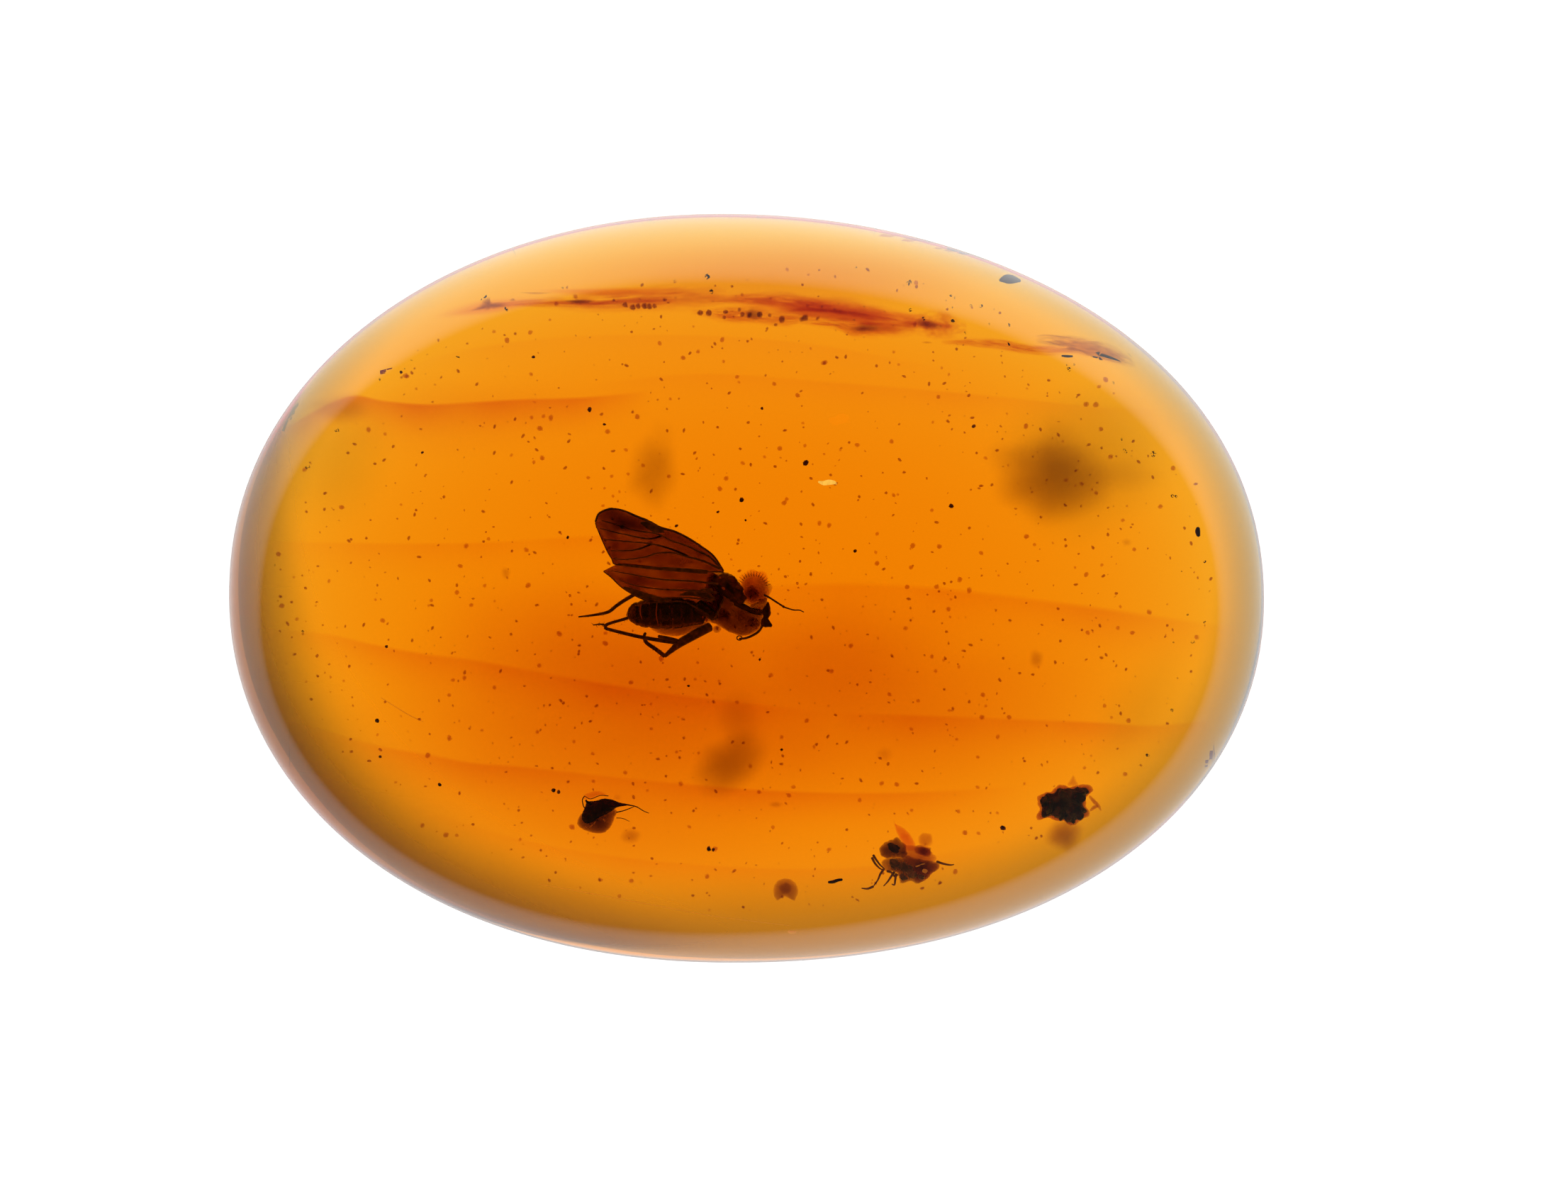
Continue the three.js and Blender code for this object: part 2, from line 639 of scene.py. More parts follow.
@dataclass
class Draft:
    """A piece while it is drawn: closed skins, in seen millimetres with true heights."""

    seed: int = 1
    points: list[np.ndarray] = field(default_factory=list)
    faces: list[tuple[int, ...]] = field(default_factory=list)
    paints: list[np.ndarray] = field(default_factory=list)
    count: int = 0

    def loft(self, rings: np.ndarray, first: np.ndarray, last: np.ndarray,
             paint: np.ndarray | float = 0.0) -> None:
        """Closes a skin over rings of points.

        Args:
            rings: an array of (rings, points in a ring, 3).
            first: the pole before the first ring.
            last: the pole after the last ring.
            paint: one value for the skin, or one for each ring.
        """
        steps, around = rings.shape[:2]
        if _faces_inwards(rings):
            rings = rings[:, ::-1]
        start = self.count
        self.points.append(np.vstack([rings.reshape(-1, 3), first, last]))
        shade = np.broadcast_to(np.asarray(paint, float), (steps,))
        self.paints.append(np.concatenate([np.repeat(shade, around), shade[[0, -1]]]))
        self.count += steps * around + 2
        poles = (self.count - 2, self.count - 1)
        for side in range(around):
            beside = (side + 1) % around
            self.faces.append((poles[0], start + beside, start + side))
            top = start + (steps - 1) * around
            self.faces.append((top + side, top + beside, poles[1]))
            for step in range(steps - 1):
                low = start + step * around
                self.faces.append((low + side, low + beside, low + around + beside, low + around + side))

    def tube(self, path: Path, count: int = 24, sides: int = 8, flat: float = 1.0, paint: float = 0.0,
             grooves: Sequence[float] = (), groove_depth: float = 0.0) -> None:
        """Draws a round or flattened tube with rounded ends.

        Args:
            path: points of (x, y, height, radius).
            count: steps along it.
            sides: points round it.
            flat: its thickness as a share of its width.
            paint: its painted value.
            grooves: places along it, 0 to 1, where it is nipped in.
            groove_depth: how much, as a share of the radius.
        """
        run = curve(path, count)
        centre, radius = run[:, :3], np.maximum(run[:, 3], 0.001)
        share = np.linspace(0, 1, count)
        for place in grooves:
            radius = radius * (1 - groove_depth * np.exp(-(((share - place) / GROOVE_WIDTH) ** 2)))
        ahead = np.gradient(centre, axis=0)
        ahead /= np.linalg.norm(ahead, axis=1)[:, None] + 1e-9
        aside = np.cross(ahead, (0.0, 0.0, 1.0)) + 1e-9
        aside /= np.linalg.norm(aside, axis=1)[:, None]
        rise = np.cross(aside, ahead)
        turn = np.linspace(0, 2 * math.pi, sides, endpoint=False)
        offset = (np.cos(turn)[None, :, None] * aside[:, None]
                  + flat * np.sin(turn)[None, :, None] * rise[:, None])
        rings = centre[:, None] + offset * radius[:, None, None]
        first = centre[0] - ahead[0] * radius[0] * TIP_REACH
        last = centre[-1] + ahead[-1] * radius[-1] * TIP_REACH
        self.loft(rings, first, last, paint)

    def blob(self, centre: Sequence[float], radii: Sequence[float], turn: float = 0.0, lumps: float = 0.0,
             rings: int = 10, around: int = 16, paint: float = 0.0) -> None:
        """Draws a lumpy ball.

        Args:
            centre: its middle.
            radii: its three half sizes.
            turn: how far it is turned about the vertical, in degrees.
            lumps: how lumpy it is, as a share of its size.
            rings: rings of points from bottom to top.
            around: points in a ring.
            paint: its painted value.
        """
        rise = np.linspace(-math.pi / 2, math.pi / 2, rings + 2)
        bearing = np.linspace(0, 2 * math.pi, around, endpoint=False)
        ball = np.stack([np.outer(np.cos(rise), np.cos(bearing)), np.outer(np.cos(rise), np.sin(bearing)),
                         np.repeat(np.sin(rise)[:, None], around, axis=1)], axis=2)
        flat_ball = ball.reshape(-1, 3)
        swell = 1 + lumps * ruffle(flat_ball + np.array(centre), 0.7, self.seed)
        shaped = flat_ball * swell[:, None] * np.array(radii)
        angle = math.radians(turn)
        cosine, sine = math.cos(angle), math.sin(angle)
        spin = np.array([[cosine, sine, 0], [-sine, cosine, 0], [0, 0, 1]])
        shaped = (shaped @ spin + np.array(centre)).reshape(ball.shape)
        self.loft(shaped[1:-1], shaped[0].mean(axis=0), shaped[-1].mean(axis=0), paint)

    def pebble(self, outline: Path, height: float, thickness: float, profile: Profile = Profile.ROUND,
               around: int = 56, rings: int = 8, ragged: float = 0.0, lumps: float = 0.0,
               paint: float = 0.0, lean: Flat = (0.0, 0.0)) -> None:
        """Draws a closed body on a free outline, domed above and below.

        Args:
            outline: the outline's points, seen from above.
            height: the height of its middle plane.
            thickness: its greatest thickness.
            profile: how the thickness falls off towards the outline.
            around: points round the outline.
            rings: rings on each side.
            ragged: how rough the outline is, in millimetres.
            lumps: how uneven the faces are, as a share of the thickness.
            paint: its painted value.
            lean: how much the middle plane rises for each millimetre along X and Y.
        """
        edge = curve(outline, around, closed=True)
        heart = edge.mean(axis=0)
        if ragged:
            places = np.column_stack([edge, np.full(around, height)])
            rough = ruffle(places, max(2.5 * ragged, 0.05), self.seed)[:, None]
            outward = (edge - heart) / np.linalg.norm(edge - heart, axis=1)[:, None]
            edge = edge + outward * rough * ragged
        if profile is Profile.FEATHERED:
            reach = np.linspace(0, 1, rings + 1)
            half = thickness / 2 * (1 - reach**2) ** 2
        else:
            fullness = 2 if profile is Profile.ROUND else 6
            reach = np.sin(np.linspace(0, math.pi / 2, rings + 1))
            half = thickness / 2 * np.sqrt(np.maximum(0, 1 - reach**fullness))
        loops = []
        for side, order in ((-1, range(1, rings + 1)), (1, range(rings - 1, 0, -1))):
            for ring in order:
                seen = heart + (edge - heart) * reach[ring]
                bulge = np.full(around, half[ring])
                if lumps and half[ring] > 0:
                    spots = np.column_stack([seen, np.full(around, height + side)])
                    bulge = bulge * (1 + lumps * ruffle(spots, 0.6 * thickness + 0.05, self.seed))
                middle = height + (seen - heart) @ np.array(lean)
                loops.append(np.column_stack([seen, middle + side * bulge]))
        poles = [np.array([*heart, height + side * thickness / 2]) for side in (-1, 1)]
        self.loft(np.array(loops), poles[0], poles[1], paint)

    def panel(self, front: Path, rear: Path, thick: Callable[[float, np.ndarray], np.ndarray],
              lift: Callable[[float, np.ndarray], np.ndarray], steps: int = 48, across: int = 16) -> None:
        """Draws a thin closed slab ruled between two edges.

        Args:
            front: one edge, with (x, y, height).
            rear: the other edge.
            thick: thickness for a place along the edges and places across them, 0 to 1.
            lift: rise of the middle plane for the same.
            steps: steps along the edges.
            across: steps across.
        """
        fore, aft = curve(front, steps), curve(rear, steps)
        share = np.linspace(0, 1, across)
        rings = []
        for index, place in enumerate(np.linspace(0, 1, steps)):
            line = fore[index] + (aft[index] - fore[index]) * share[:, None]
            middle = line[:, 2] + lift(place, share)
            half = np.maximum(thick(place, share), THINNEST) / 2
            top = np.column_stack([line[:, :2], middle + half])
            bottom = np.column_stack([line[:, :2], middle - half])[::-1]
            rings.append(np.vstack([top, bottom]))
        rings = np.array(rings)
        self.loft(rings, rings[0].mean(axis=0), rings[-1].mean(axis=0))


@dataclass
class Workshop:
    """Turns drafts into finished pieces that ride with the stone."""

    sight: SightLine

    def make(self, name: str, draft: Draft, material: bpy.types.Material) -> bpy.types.Object:
        """Makes a sealed piece.

        Args:
            name: the piece's name.
            draft: its closed skins, in seen millimetres.
            material: its finish.

        Returns:
            The piece, riding with the stone.
        """
        places = self.sight.sealed(np.vstack(draft.points))
        paints = {"paint": np.concatenate(draft.paints)}
        return self.settle(name, places, draft.faces, paints, material)

    def settle(self, name: str, places: np.ndarray, faces: list[tuple[int, ...]],
               paints: dict[str, np.ndarray], material: bpy.types.Material) -> bpy.types.Object:
        """Makes a mesh from true places.

        Args:
            name: the piece's name.
            places: its points in millimetres.
            faces: its faces.
            paints: named values for its points.
            material: its finish.

        Returns:
            The piece, riding with the stone.
        """
        mesh = bpy.data.meshes.new(name)
        mesh.from_pydata((places * MM).tolist(), [], faces)
        mesh.polygons.foreach_set("use_smooth", [True] * len(mesh.polygons))
        for key, values in paints.items():
            layer = mesh.attributes.new(key, "FLOAT", "POINT")
            layer.data.foreach_set("value", values.astype(np.float32))
        mesh.materials.append(material)
        mesh.update()
        piece = bpy.data.objects.new(name, mesh)
        bpy.context.scene.collection.objects.link(piece)
        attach(piece, BODY)
        REPORT.info("%s: %d faces", name, len(faces))
        return piece


# ---------------------------------------------------------------- the stone


@dataclass
class AmberStone:
    """The polished oval itself."""

    form: StoneForm
    finish: AmberFinish
    around: int = 256
    foot_rings: int = 8
    flank_rings: int = 24
    dome_rings: int = 72
    satin_fade: int = 4  # rings over which the satin flank turns to polish

    def build(self, workshop: Workshop) -> bpy.types.Object:
        """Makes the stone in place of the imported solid.

        Args:
            workshop: what makes the mesh.

        Returns:
            The stone.
        """
        bearing = np.linspace(0, 2 * math.pi, self.around, endpoint=False)
        rings = [self.form.foot_ring(bearing, step / self.foot_rings)
                 for step in range(1, self.foot_rings + 1)]
        rings += [self.form.flank_ring(bearing, step / self.flank_rings)
                  for step in range(1, self.flank_rings + 1)]
        rings += [self.form.dome_ring(bearing, step / self.dome_rings) for step in range(1, self.dome_rings)]
        draft = Draft()
        crown = np.array([*self.form.crown, self.form.height])
        draft.loft(np.array(rings), np.zeros(3), crown, self._satin(len(rings)))
        satin = {"satin": np.concatenate(draft.paints)}
        stone = workshop.settle("polished_stone", np.vstack(draft.points), draft.faces, satin,
                                self.finish.dress())
        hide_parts(NODE)
        return stone

    def _satin(self, count: int) -> np.ndarray:
        """Works out where the skin is satin: on the flank, fading into the polish.

        Args:
            count: how many rings the stone has.

        Returns:
            One value for each ring.
        """
        ring = np.arange(count)
        start = self.foot_rings
        end = self.foot_rings + self.flank_rings
        rise = np.clip((ring - start + 1) / self.satin_fade, 0, 1)
        fall = np.clip(1 - (ring - end + 1) / (1.8 * self.satin_fade), 0, 1)
        return np.minimum(rise, fall)


@dataclass
class EdgeShade:
    """Painted shade just inside the girdle: a grey absorbing skin put where the rim shows only shade, soft,
    with hardly any of it at +Y.
    """

    form: StoneForm
    depth: float = 1.4
    rise: float = 0.2  # how far its middle lies over the girdle
    lost: Colour = (630.0, 550.0, 250.0)
    knots: Sequence[Sequence[float]] = (  # bearing in degrees, outer and inner edge, share of the full depth
        (125, 0.03, 0.6, 0.0), (142, 0.05, 0.8, 0.15), (160, 0.12, 1.3, 0.65), (180, 0.2, 2.1, 0.62),
        (200, 0.25, 2.1, 0.7), (222, 0.1, 2.0, 0.48), (245, 0.1, 2.3, 0.52), (270, 0.05, 2.4, 0.74),
        (300, 0.03, 2.3, 0.76), (330, 0.03, 2.0, 0.86), (360, 0.03, 1.3, 0.78), (380, 0.03, 1.1, 0.5),
        (405, 0.03, 0.9, 0.2), (430, 0.03, 0.6, 0.0))

    def build(self, workshop: Workshop) -> None:
        """Makes the skin.

        Args:
            workshop: what makes the piece.
        """
        turns, starts, ends, depths = np.array(self.knots, float).T
        bearing = np.linspace(turns[0], turns[-1], 120)
        outer = self._edge(bearing, np.interp(bearing, turns, starts))
        inner = self._edge(bearing, np.interp(bearing, turns, ends))
        travel = np.concatenate([[0.0], np.cumsum(np.linalg.norm(np.diff(outer, axis=0), axis=1))])
        along_edge = travel / travel[-1]
        fullness = np.interp(bearing, turns, depths)

        def thick(place: float, share: np.ndarray) -> np.ndarray:
            """Gives the skin's thickness, most in its middle."""
            return self.depth * np.interp(place, along_edge, fullness) * (1 - share**2) ** 2

        def lift(place: float, share: np.ndarray) -> np.ndarray:
            """Keeps the skin flat."""
            return np.zeros_like(share)

        # The skin is painted shade that darkens the band inside the rim.
        draft = Draft(seed=16)
        draft.panel(outer, inner, thick, lift, steps=160, across=18)
        workshop.make("edge_shade", draft, StainAndShadeFinish("edge_shade", self.lost).dress())

    def _edge(self, degrees: np.ndarray, inset: np.ndarray) -> np.ndarray:
        """Draws one edge of the skin.

        Args:
            degrees: bearings in degrees.
            inset: how far in from the outline, at each.

        Returns:
            Places on the edge.
        """
        bearing = np.radians(degrees)
        radius = self.form.outline_radius(bearing) - inset
        height = self.form.girdle_height * self.form.flank_share(bearing) + self.rise
        return np.column_stack([radius * np.cos(bearing), radius * np.sin(bearing), height])


# ---------------------------------------------------------------- the main insect


@dataclass
class WingedBug:
    """The main insect, on its side: folded wings, hunched thorax, plump abdomen."""

    wing_height: float = 5.0
    body_height: float = 4.4
    leading_edge: Path = ((-0.54, 0.36), (-0.77, 0.7), (-1.07, 0.93), (-1.37, 1.12), (-1.68, 1.27),
                          (-2.0, 1.36), (-2.28, 1.5), (-2.58, 1.63), (-2.84, 1.74), (-3.07, 1.79),
                          (-3.28, 1.76), (-3.43, 1.67), (-3.5, 1.5))
    trailing_edge: Path = ((-0.54, 0.33), (-0.92, 0.34), (-1.75, 0.37), (-2.35, 0.44), (-3.03, 0.5),
                           (-3.12, 0.62), (-3.22, 0.78), (-3.35, 1.06), (-3.47, 1.35), (-3.5, 1.48))
    far_leading_edge: Path = ((-0.6, 0.2), (-0.92, 0.36), (-1.75, 0.4), (-2.35, 0.48), (-2.9, 0.53),
                              (-3.05, 0.49), (-3.32, 0.36))
    far_trailing_edge: Path = ((-0.54, -0.3), (-0.77, -0.77), (-0.96, -0.62), (-1.3, -0.43), (-1.52, -0.35),
                               (-2.13, -0.37), (-2.39, -0.31), (-2.66, -0.18), (-2.92, -0.01),
                               (-3.15, 0.21), (-3.32, 0.34))
    thorax_outline: Path = ((-0.8, 0.12), (-0.6, 0.3), (-0.39, 0.29), (-0.22, 0.14), (-0.09, -0.09),
                            (-0.03, -0.31), (-0.14, -0.42), (-0.43, -0.3), (-0.69, -0.08))
    coxa_outline: Path = ((-1.2, -0.56), (-1.02, -0.18), (-0.85, 0.28), (-0.5, 0.27), (-0.2, -0.1),
                          (0.02, -0.46), (0.34, -0.54), (0.4, -0.8), (0.28, -1.01), (0.02, -1.13),
                          (-0.28, -1.12), (-0.54, -0.98), (-0.86, -0.8))
    face_outline: Path = ((0.14, -0.36), (0.42, -0.26), (0.5, -0.48), (0.42, -0.68), (0.22, -0.64),
                          (0.06, -0.5))
    tip_outline: Path = ((-3.53, 1.48), (-3.47, 1.74), (-3.25, 1.84), (-2.95, 1.78), (-2.6, 1.66),
                         (-2.2, 1.5), (-2.0, 1.3), (-2.4, 1.22), (-2.9, 1.22), (-3.3, 1.16))
    beak_outline: Path = ((0.5, -0.36), (0.56, -0.62), (0.5, -0.77), (0.6, -0.92), (0.47, -0.95),
                          (0.34, -0.93), (0.33, -0.8), (0.38, -0.69), (0.34, -0.58), (0.42, -0.46))
    belly_outline: Path = ((-2.3, -0.9), (-2.05, -1.09), (-1.75, -1.15), (-1.45, -1.13), (-1.1, -1.02),
                           (-0.85, -0.9), (-0.95, -0.74), (-1.5, -0.72), (-2.1, -0.78))
    abdomen_axis: Path = ((-2.72, -0.66, 4.2, 0.16), (-2.55, -0.64, 4.2, 0.28), (-2.2, -0.63, 4.2, 0.35),
                          (-1.8, -0.62, 4.25, 0.37), (-1.4, -0.62, 4.3, 0.33), (-1.0, -0.66, 4.35, 0.22))

    def build(self, workshop: Workshop) -> None:
        """Makes every part of the insect and dresses it.

        Args:
            workshop: what makes the pieces.
        """
        membrane = StainAndShadeFinish("wing_membrane", (14000.0, 22000.0, 30000.0), 1.01).dress()
        tissue = StainAndShadeFinish("brown_tissue", (5800.0, 7600.0, 9000.0), 1.01).dress()
        # These shell, vein and abdomen finishes carry a painted glow: emission standing in for the table's
        # light coming through them.
        shell = ShellFinish("dark_shell", (0.012, 0.005, 0.003), (0.16, 0.05, 0.02), grain=0.15,
                            roughness=0.4, coat=0.2, painted_glow=0.12).dress()
        vein = ShellFinish("wing_veins", (0.03, 0.012, 0.006), (0.2, 0.06, 0.02), grain=0.1, painted_glow=0.3).dress()
        workshop.make("bug_forewing", self._forewing(), membrane)
        workshop.make("bug_hindwing", self._hindwing(), membrane)
        workshop.make("bug_wing_veins", self._veins(), vein)
        workshop.make("bug_thorax", self._thorax(), shell)
        dull = ShellFinish("abdomen_shell", (0.012, 0.008, 0.006), (0.05, 0.03, 0.022), grain=0.15,
                           roughness=0.3, coat=0.3, painted_glow=0.1).dress()
        workshop.make("bug_abdomen", self._abdomen(), dull)
        workshop.make("bug_wing_tip", self._wing_tip(), tissue)
        workshop.make("bug_head", self._head(), tissue)
        workshop.make("bug_head_fuzz", self._head_fuzz(),
                      StainAndShadeFinish("red_fuzz", (1000.0, 2900.0, 3500.0), 1.01).dress())
        workshop.make("bug_coxae", self._coxae(), tissue)
        workshop.make("bug_belly", self._belly(), tissue)
        workshop.make("bug_beak_and_eye", self._beak(), shell)
        workshop.make("bug_legs", self._legs(), vein)
        workshop.make("bug_antennae", self._antennae(), vein)
        # The pale spots and segment lines have a pale colour plus a painted glint: emission standing in for
        # highlights.
        pale = PaintedGlintFinish("pale_cuticle_and_painted_glint", (0.36, 0.06, 0.02), 0.25).dress()
        workshop.make("bug_pale_spots", self._pale_spots(), pale)

    def _wing(self, front: Path, rear: Path, height: float, ribs: float, seed: float) -> Draft:
        """Draws one wing's membrane.

        Args:
            front: its leading edge.
            rear: its trailing edge.
            height: how high it lies.
            ribs: how many folds run along it.
            seed: picks its unevenness.

        Returns:
            The draft.
        """
        draft = Draft(seed=int(seed))

        def thick(place: float, share: np.ndarray) -> np.ndarray:
            """Gives the membrane's uneven thickness.

            Args:
                place: how far along the wing, 0 to 1.
                share: how far across it.

            Returns:
                A thickness for each share.
            """
            along_wing = np.full(len(share), place * 3.2)
            spots = np.column_stack([along_wing, share * 1.6, np.full(len(share), seed)])
            cells = 1 + 0.3 * ruffle(spots, 0.42, seed) + 0.15 * ruffle(spots, 0.15, seed + 5)
            return 0.14 * cells

        def lift(place: float, share: np.ndarray) -> np.ndarray:
            """Gives the membrane's camber and folds."""
            camber = 0.18 * np.sin(math.pi * share) * math.sin(math.pi * min(1.0, place + 0.1))
            return camber + 0.02 * np.sin(2 * math.pi * ribs * share + 2.0 * place)

        front_line = along(front, (height - 0.15, height, height + 0.1), (0.0, 0.0))[:, :3]
        rear_line = along(rear, (height - 0.2, height - 0.1, height), (0.0, 0.0))[:, :3]
        draft.panel(front_line, rear_line, thick, lift, steps=72, across=30)
        return draft

    def _forewing(self) -> Draft:
        """Draws the upper wing."""
        return self._wing(self.leading_edge, self.trailing_edge, self.wing_height, 5.0, 3.0)

    def _hindwing(self) -> Draft:
        """Draws the lower wing."""
        return self._wing(self.far_leading_edge, self.far_trailing_edge, self.wing_height - 0.45, 4.0, 8.0)

    def _veins(self) -> Draft:
        """Draws the wings' edges, veins and dark smudges.

        Returns:
            The draft.
        """
        draft = Draft(seed=4)
        top = self.wing_height + 0.16
        low = self.wing_height - 0.25
        draft.tube(along(self.leading_edge, (top - 0.25, top - 0.1, top - 0.05), (0.02, 0.03, 0.02)), 90, 8)
        draft.tube(along(self.trailing_edge, (top - 0.3, top - 0.2, top - 0.1), (0.02, 0.012, 0.01)), 70, 6)
        draft.tube(along(self.far_trailing_edge, (low, low - 0.05, low), (0.02, 0.016, 0.012)), 80, 6)
        forewing_veins = (
            ((-0.6, 0.42), (-0.86, 0.68), (-1.15, 0.82), (-1.37, 0.93), (-1.75, 1.06), (-1.96, 1.17),
             (-2.2, 1.24), (-2.6, 1.3), (-3.0, 1.42), (-3.35, 1.52)),
            ((-0.62, 0.4), (-1.0, 0.58), (-1.37, 0.68), (-1.68, 0.77), (-2.05, 0.77), (-2.35, 0.68),
             (-2.8, 0.62), (-3.1, 0.64)),
            ((-1.37, 0.7), (-1.75, 0.86), (-2.2, 0.98), (-2.7, 1.03), (-3.3, 1.08)),
            ((-2.2, 0.98), (-2.6, 0.84), (-3.15, 0.82)),
            ((-1.96, 1.17), (-2.3, 1.1), (-2.9, 1.22), (-3.4, 1.34)),
        )
        for line in forewing_veins:
            draft.tube(along(line, (top - 0.2, top + 0.02, top), (0.026, 0.018, 0.01)), 48, 6)
        far_veins = (
            ((-0.66, 0.05), (-1.3, 0.12), (-2.0, 0.16), (-2.7, 0.28), (-3.15, 0.36)),
            ((-0.7, -0.15), (-1.3, -0.1), (-2.0, -0.07), (-2.6, 0.02), (-2.95, 0.14)),
            ((-0.8, -0.35), (-1.2, -0.28), (-1.6, -0.26), (-2.1, -0.28)),
        )
        for line in far_veins:
            draft.tube(along(line, (low + 0.2, low + 0.24, low + 0.2), (0.024, 0.016, 0.008)), 40, 6)
        draft.tube(along(((-0.92, 0.33), (-1.3, 0.36), (-1.7, 0.39), (-2.3, 0.43), (-3.0, 0.5)),
                         (top - 0.2, top - 0.16), (0.05, 0.045, 0.02)), 50, 8, flat=0.4)
        draft.tube(along(((-1.93, 1.27), (-2.1, 1.32), (-2.3, 1.42), (-2.45, 1.47)),
                         (top, top), (0.03, 0.08, 0.075, 0.03)), 24, 10, flat=0.3)
        draft.tube(along(((-1.2, -0.18), (-1.0, -0.14), (-0.8, -0.1)), (low + 0.1, low + 0.1),
                         (0.03, 0.09, 0.05)), 20, 10, flat=0.4)
        draft.tube(along(((-1.55, -0.2), (-1.25, -0.16), (-0.95, -0.2), (-0.75, -0.3)),
                         (low + 0.1, low + 0.1), (0.02, 0.07, 0.08, 0.04)), 24, 10, flat=0.4)
        draft.tube(along(((-2.85, -0.02), (-2.6, -0.14), (-2.3, -0.24), (-2.0, -0.3), (-1.75, -0.32)),
                         (low, low), (0.02, 0.07, 0.075, 0.05, 0.02)), 30, 10, flat=0.5)
        draft.blob((-2.88, 1.38, top), (0.05, 0.045, 0.02), lumps=0.3)
        return draft

    def _wing_tip(self) -> Draft:
        """Draws the darker tissue at the wing's tip.

        Returns:
            The draft.
        """
        draft = Draft(seed=5)
        draft.pebble(self.tip_outline, self.wing_height + 0.5, 0.24, Profile.FEATHERED,
                     ragged=0.03, lumps=0.4)
        return draft

    def _thorax(self) -> Draft:
        """Draws the hunched thorax and the bar below the head.

        Returns:
            The draft.
        """
        draft = Draft(seed=6)
        draft.pebble(self.thorax_outline, self.body_height + 0.1, 0.7, ragged=0.03, lumps=0.3)
        for x, y, radius in ((-0.42, 0.12, 0.19), (-0.25, -0.08, 0.17), (-0.12, -0.28, 0.12),
                             (-0.6, 0.1, 0.1)):
            draft.blob((x, y, self.body_height + 0.25), (radius, radius * 0.85, radius), lumps=0.25)
        draft.tube(along(((-0.28, -0.38), (-0.02, -0.5), (0.17, -0.6), (0.33, -0.64)),
                         (4.5, 4.4), (0.06, 0.07, 0.05, 0.03)), 20, 8)
        return draft

    def _abdomen(self) -> Draft:
        """Draws the grooved abdomen and its waist.

        Returns:
            The draft.
        """
        draft = Draft(seed=7)
        draft.tube(self.abdomen_axis, 72, 28, flat=0.95, grooves=(0.12, 0.26, 0.42, 0.58, 0.74, 0.88),
                   groove_depth=0.07)
        draft.tube(((-1.15, -0.45, 4.5, 0.16), (-0.9, -0.6, 4.5, 0.14), (-0.7, -0.72, 4.5, 0.08)), 20, 12)
        return draft

    def _head(self) -> Draft:
        """Draws the head, its eye and the face below it.

        Returns:
            The draft.
        """
        draft = Draft(seed=9)
        draft.blob((0.17, -0.12, 4.5), (0.33, 0.36, 0.13), turn=-30, lumps=0.5, rings=16, around=28)
        draft.blob((0.12, -0.18, 4.95), (0.14, 0.2, 0.11), turn=20, lumps=0.5, rings=12, around=20)
        draft.pebble(self.face_outline, 3.98, 0.28, Profile.SLAB, ragged=0.03, lumps=0.4)
        return draft

    def _head_fuzz(self) -> Draft:
        """Draws the reddish fuzz round the head.

        Returns:
            The draft.
        """
        draft = Draft(seed=8)
        draft.blob((0.17, -0.01, 4.55), (0.36, 0.37, 0.22), lumps=0.5, rings=16, around=32)
        return draft

    def _coxae(self) -> Draft:
        """Draws the brown leg bases.

        Returns:
            The draft.
        """
        draft = Draft(seed=10)
        draft.pebble(self.coxa_outline, 4.3, 0.44, Profile.SLAB, ragged=0.03, lumps=0.35)
        for x, y, radius, rise in ((0.16, -0.84, 0.16, 3.85), (-0.55, -0.66, 0.2, 3.9)):
            draft.blob((x, y, rise), (radius, radius * 0.7, 0.09), turn=-25, lumps=0.4)
        draft.blob((-0.69, -0.99, 4.2), (0.1, 0.085, 0.08), lumps=0.2)
        return draft

    def _belly(self) -> Draft:
        """Draws the pale-brown belly under the abdomen.

        Returns:
            The draft.
        """
        draft = Draft(seed=11)
        draft.pebble(self.belly_outline, 4.0, 0.34, ragged=0.02, lumps=0.35)
        return draft

    def _beak(self) -> Draft:
        """Draws the black pointed beak.

        Returns:
            The draft.
        """
        draft = Draft(seed=12)
        draft.pebble(self.beak_outline, 4.4, 0.16, ragged=0.015, lumps=0.2)
        return draft

    def _legs(self) -> Draft:
        """Draws the legs and their short hairs.

        Returns:
            The draft.
        """
        draft = Draft(seed=13)
        legs = (
            (((-2.62, -0.2), (-2.84, -0.33), (-3.03, -0.46), (-3.22, -0.6), (-3.56, -0.67), (-3.9, -0.71)),
             (4.1, 3.9, 3.7), (0.036, 0.034, 0.03, 0.014)),
            (((-1.6, -1.28), (-1.75, -1.29), (-2.39, -1.19), (-2.84, -1.09), (-3.27, -0.98)),
             (3.7, 3.8), (0.045, 0.036, 0.03)),
            (((-3.27, -0.98), (-3.26, -0.9), (-3.11, -0.84), (-2.9, -0.78), (-2.74, -0.73)),
             (3.8, 4.0), (0.034, 0.028, 0.03)),
            (((-3.24, -0.91), (-3.4, -0.88), (-3.56, -0.9)), (3.8, 3.8), (0.02, 0.01)),
            (((-0.85, -0.94), (-1.15, -1.09), (-1.52, -1.3), (-1.74, -1.48), (-1.9, -1.62)),
             (4.1, 3.8, 3.6), (0.085, 0.09, 0.08, 0.05, 0.035)),
            (((-1.9, -1.62), (-2.11, -1.46), (-2.32, -1.31), (-2.38, -1.18), (-2.35, -1.08)),
             (3.6, 3.7), (0.04, 0.036, 0.026)),
            (((-2.05, -1.16), (-1.75, -1.22), (-1.5, -1.3)), (3.9, 3.8), (0.03, 0.035)),
            (((-0.17, -1.22), (0.02, -1.19), (0.25, -1.07), (0.36, -0.92)), (4.1, 4.2), (0.02, 0.026)),
        )
        for line, heights, radii in legs:
            draft.tube(along(line, heights, [1.25 * radius for radius in radii]), 36, 8)
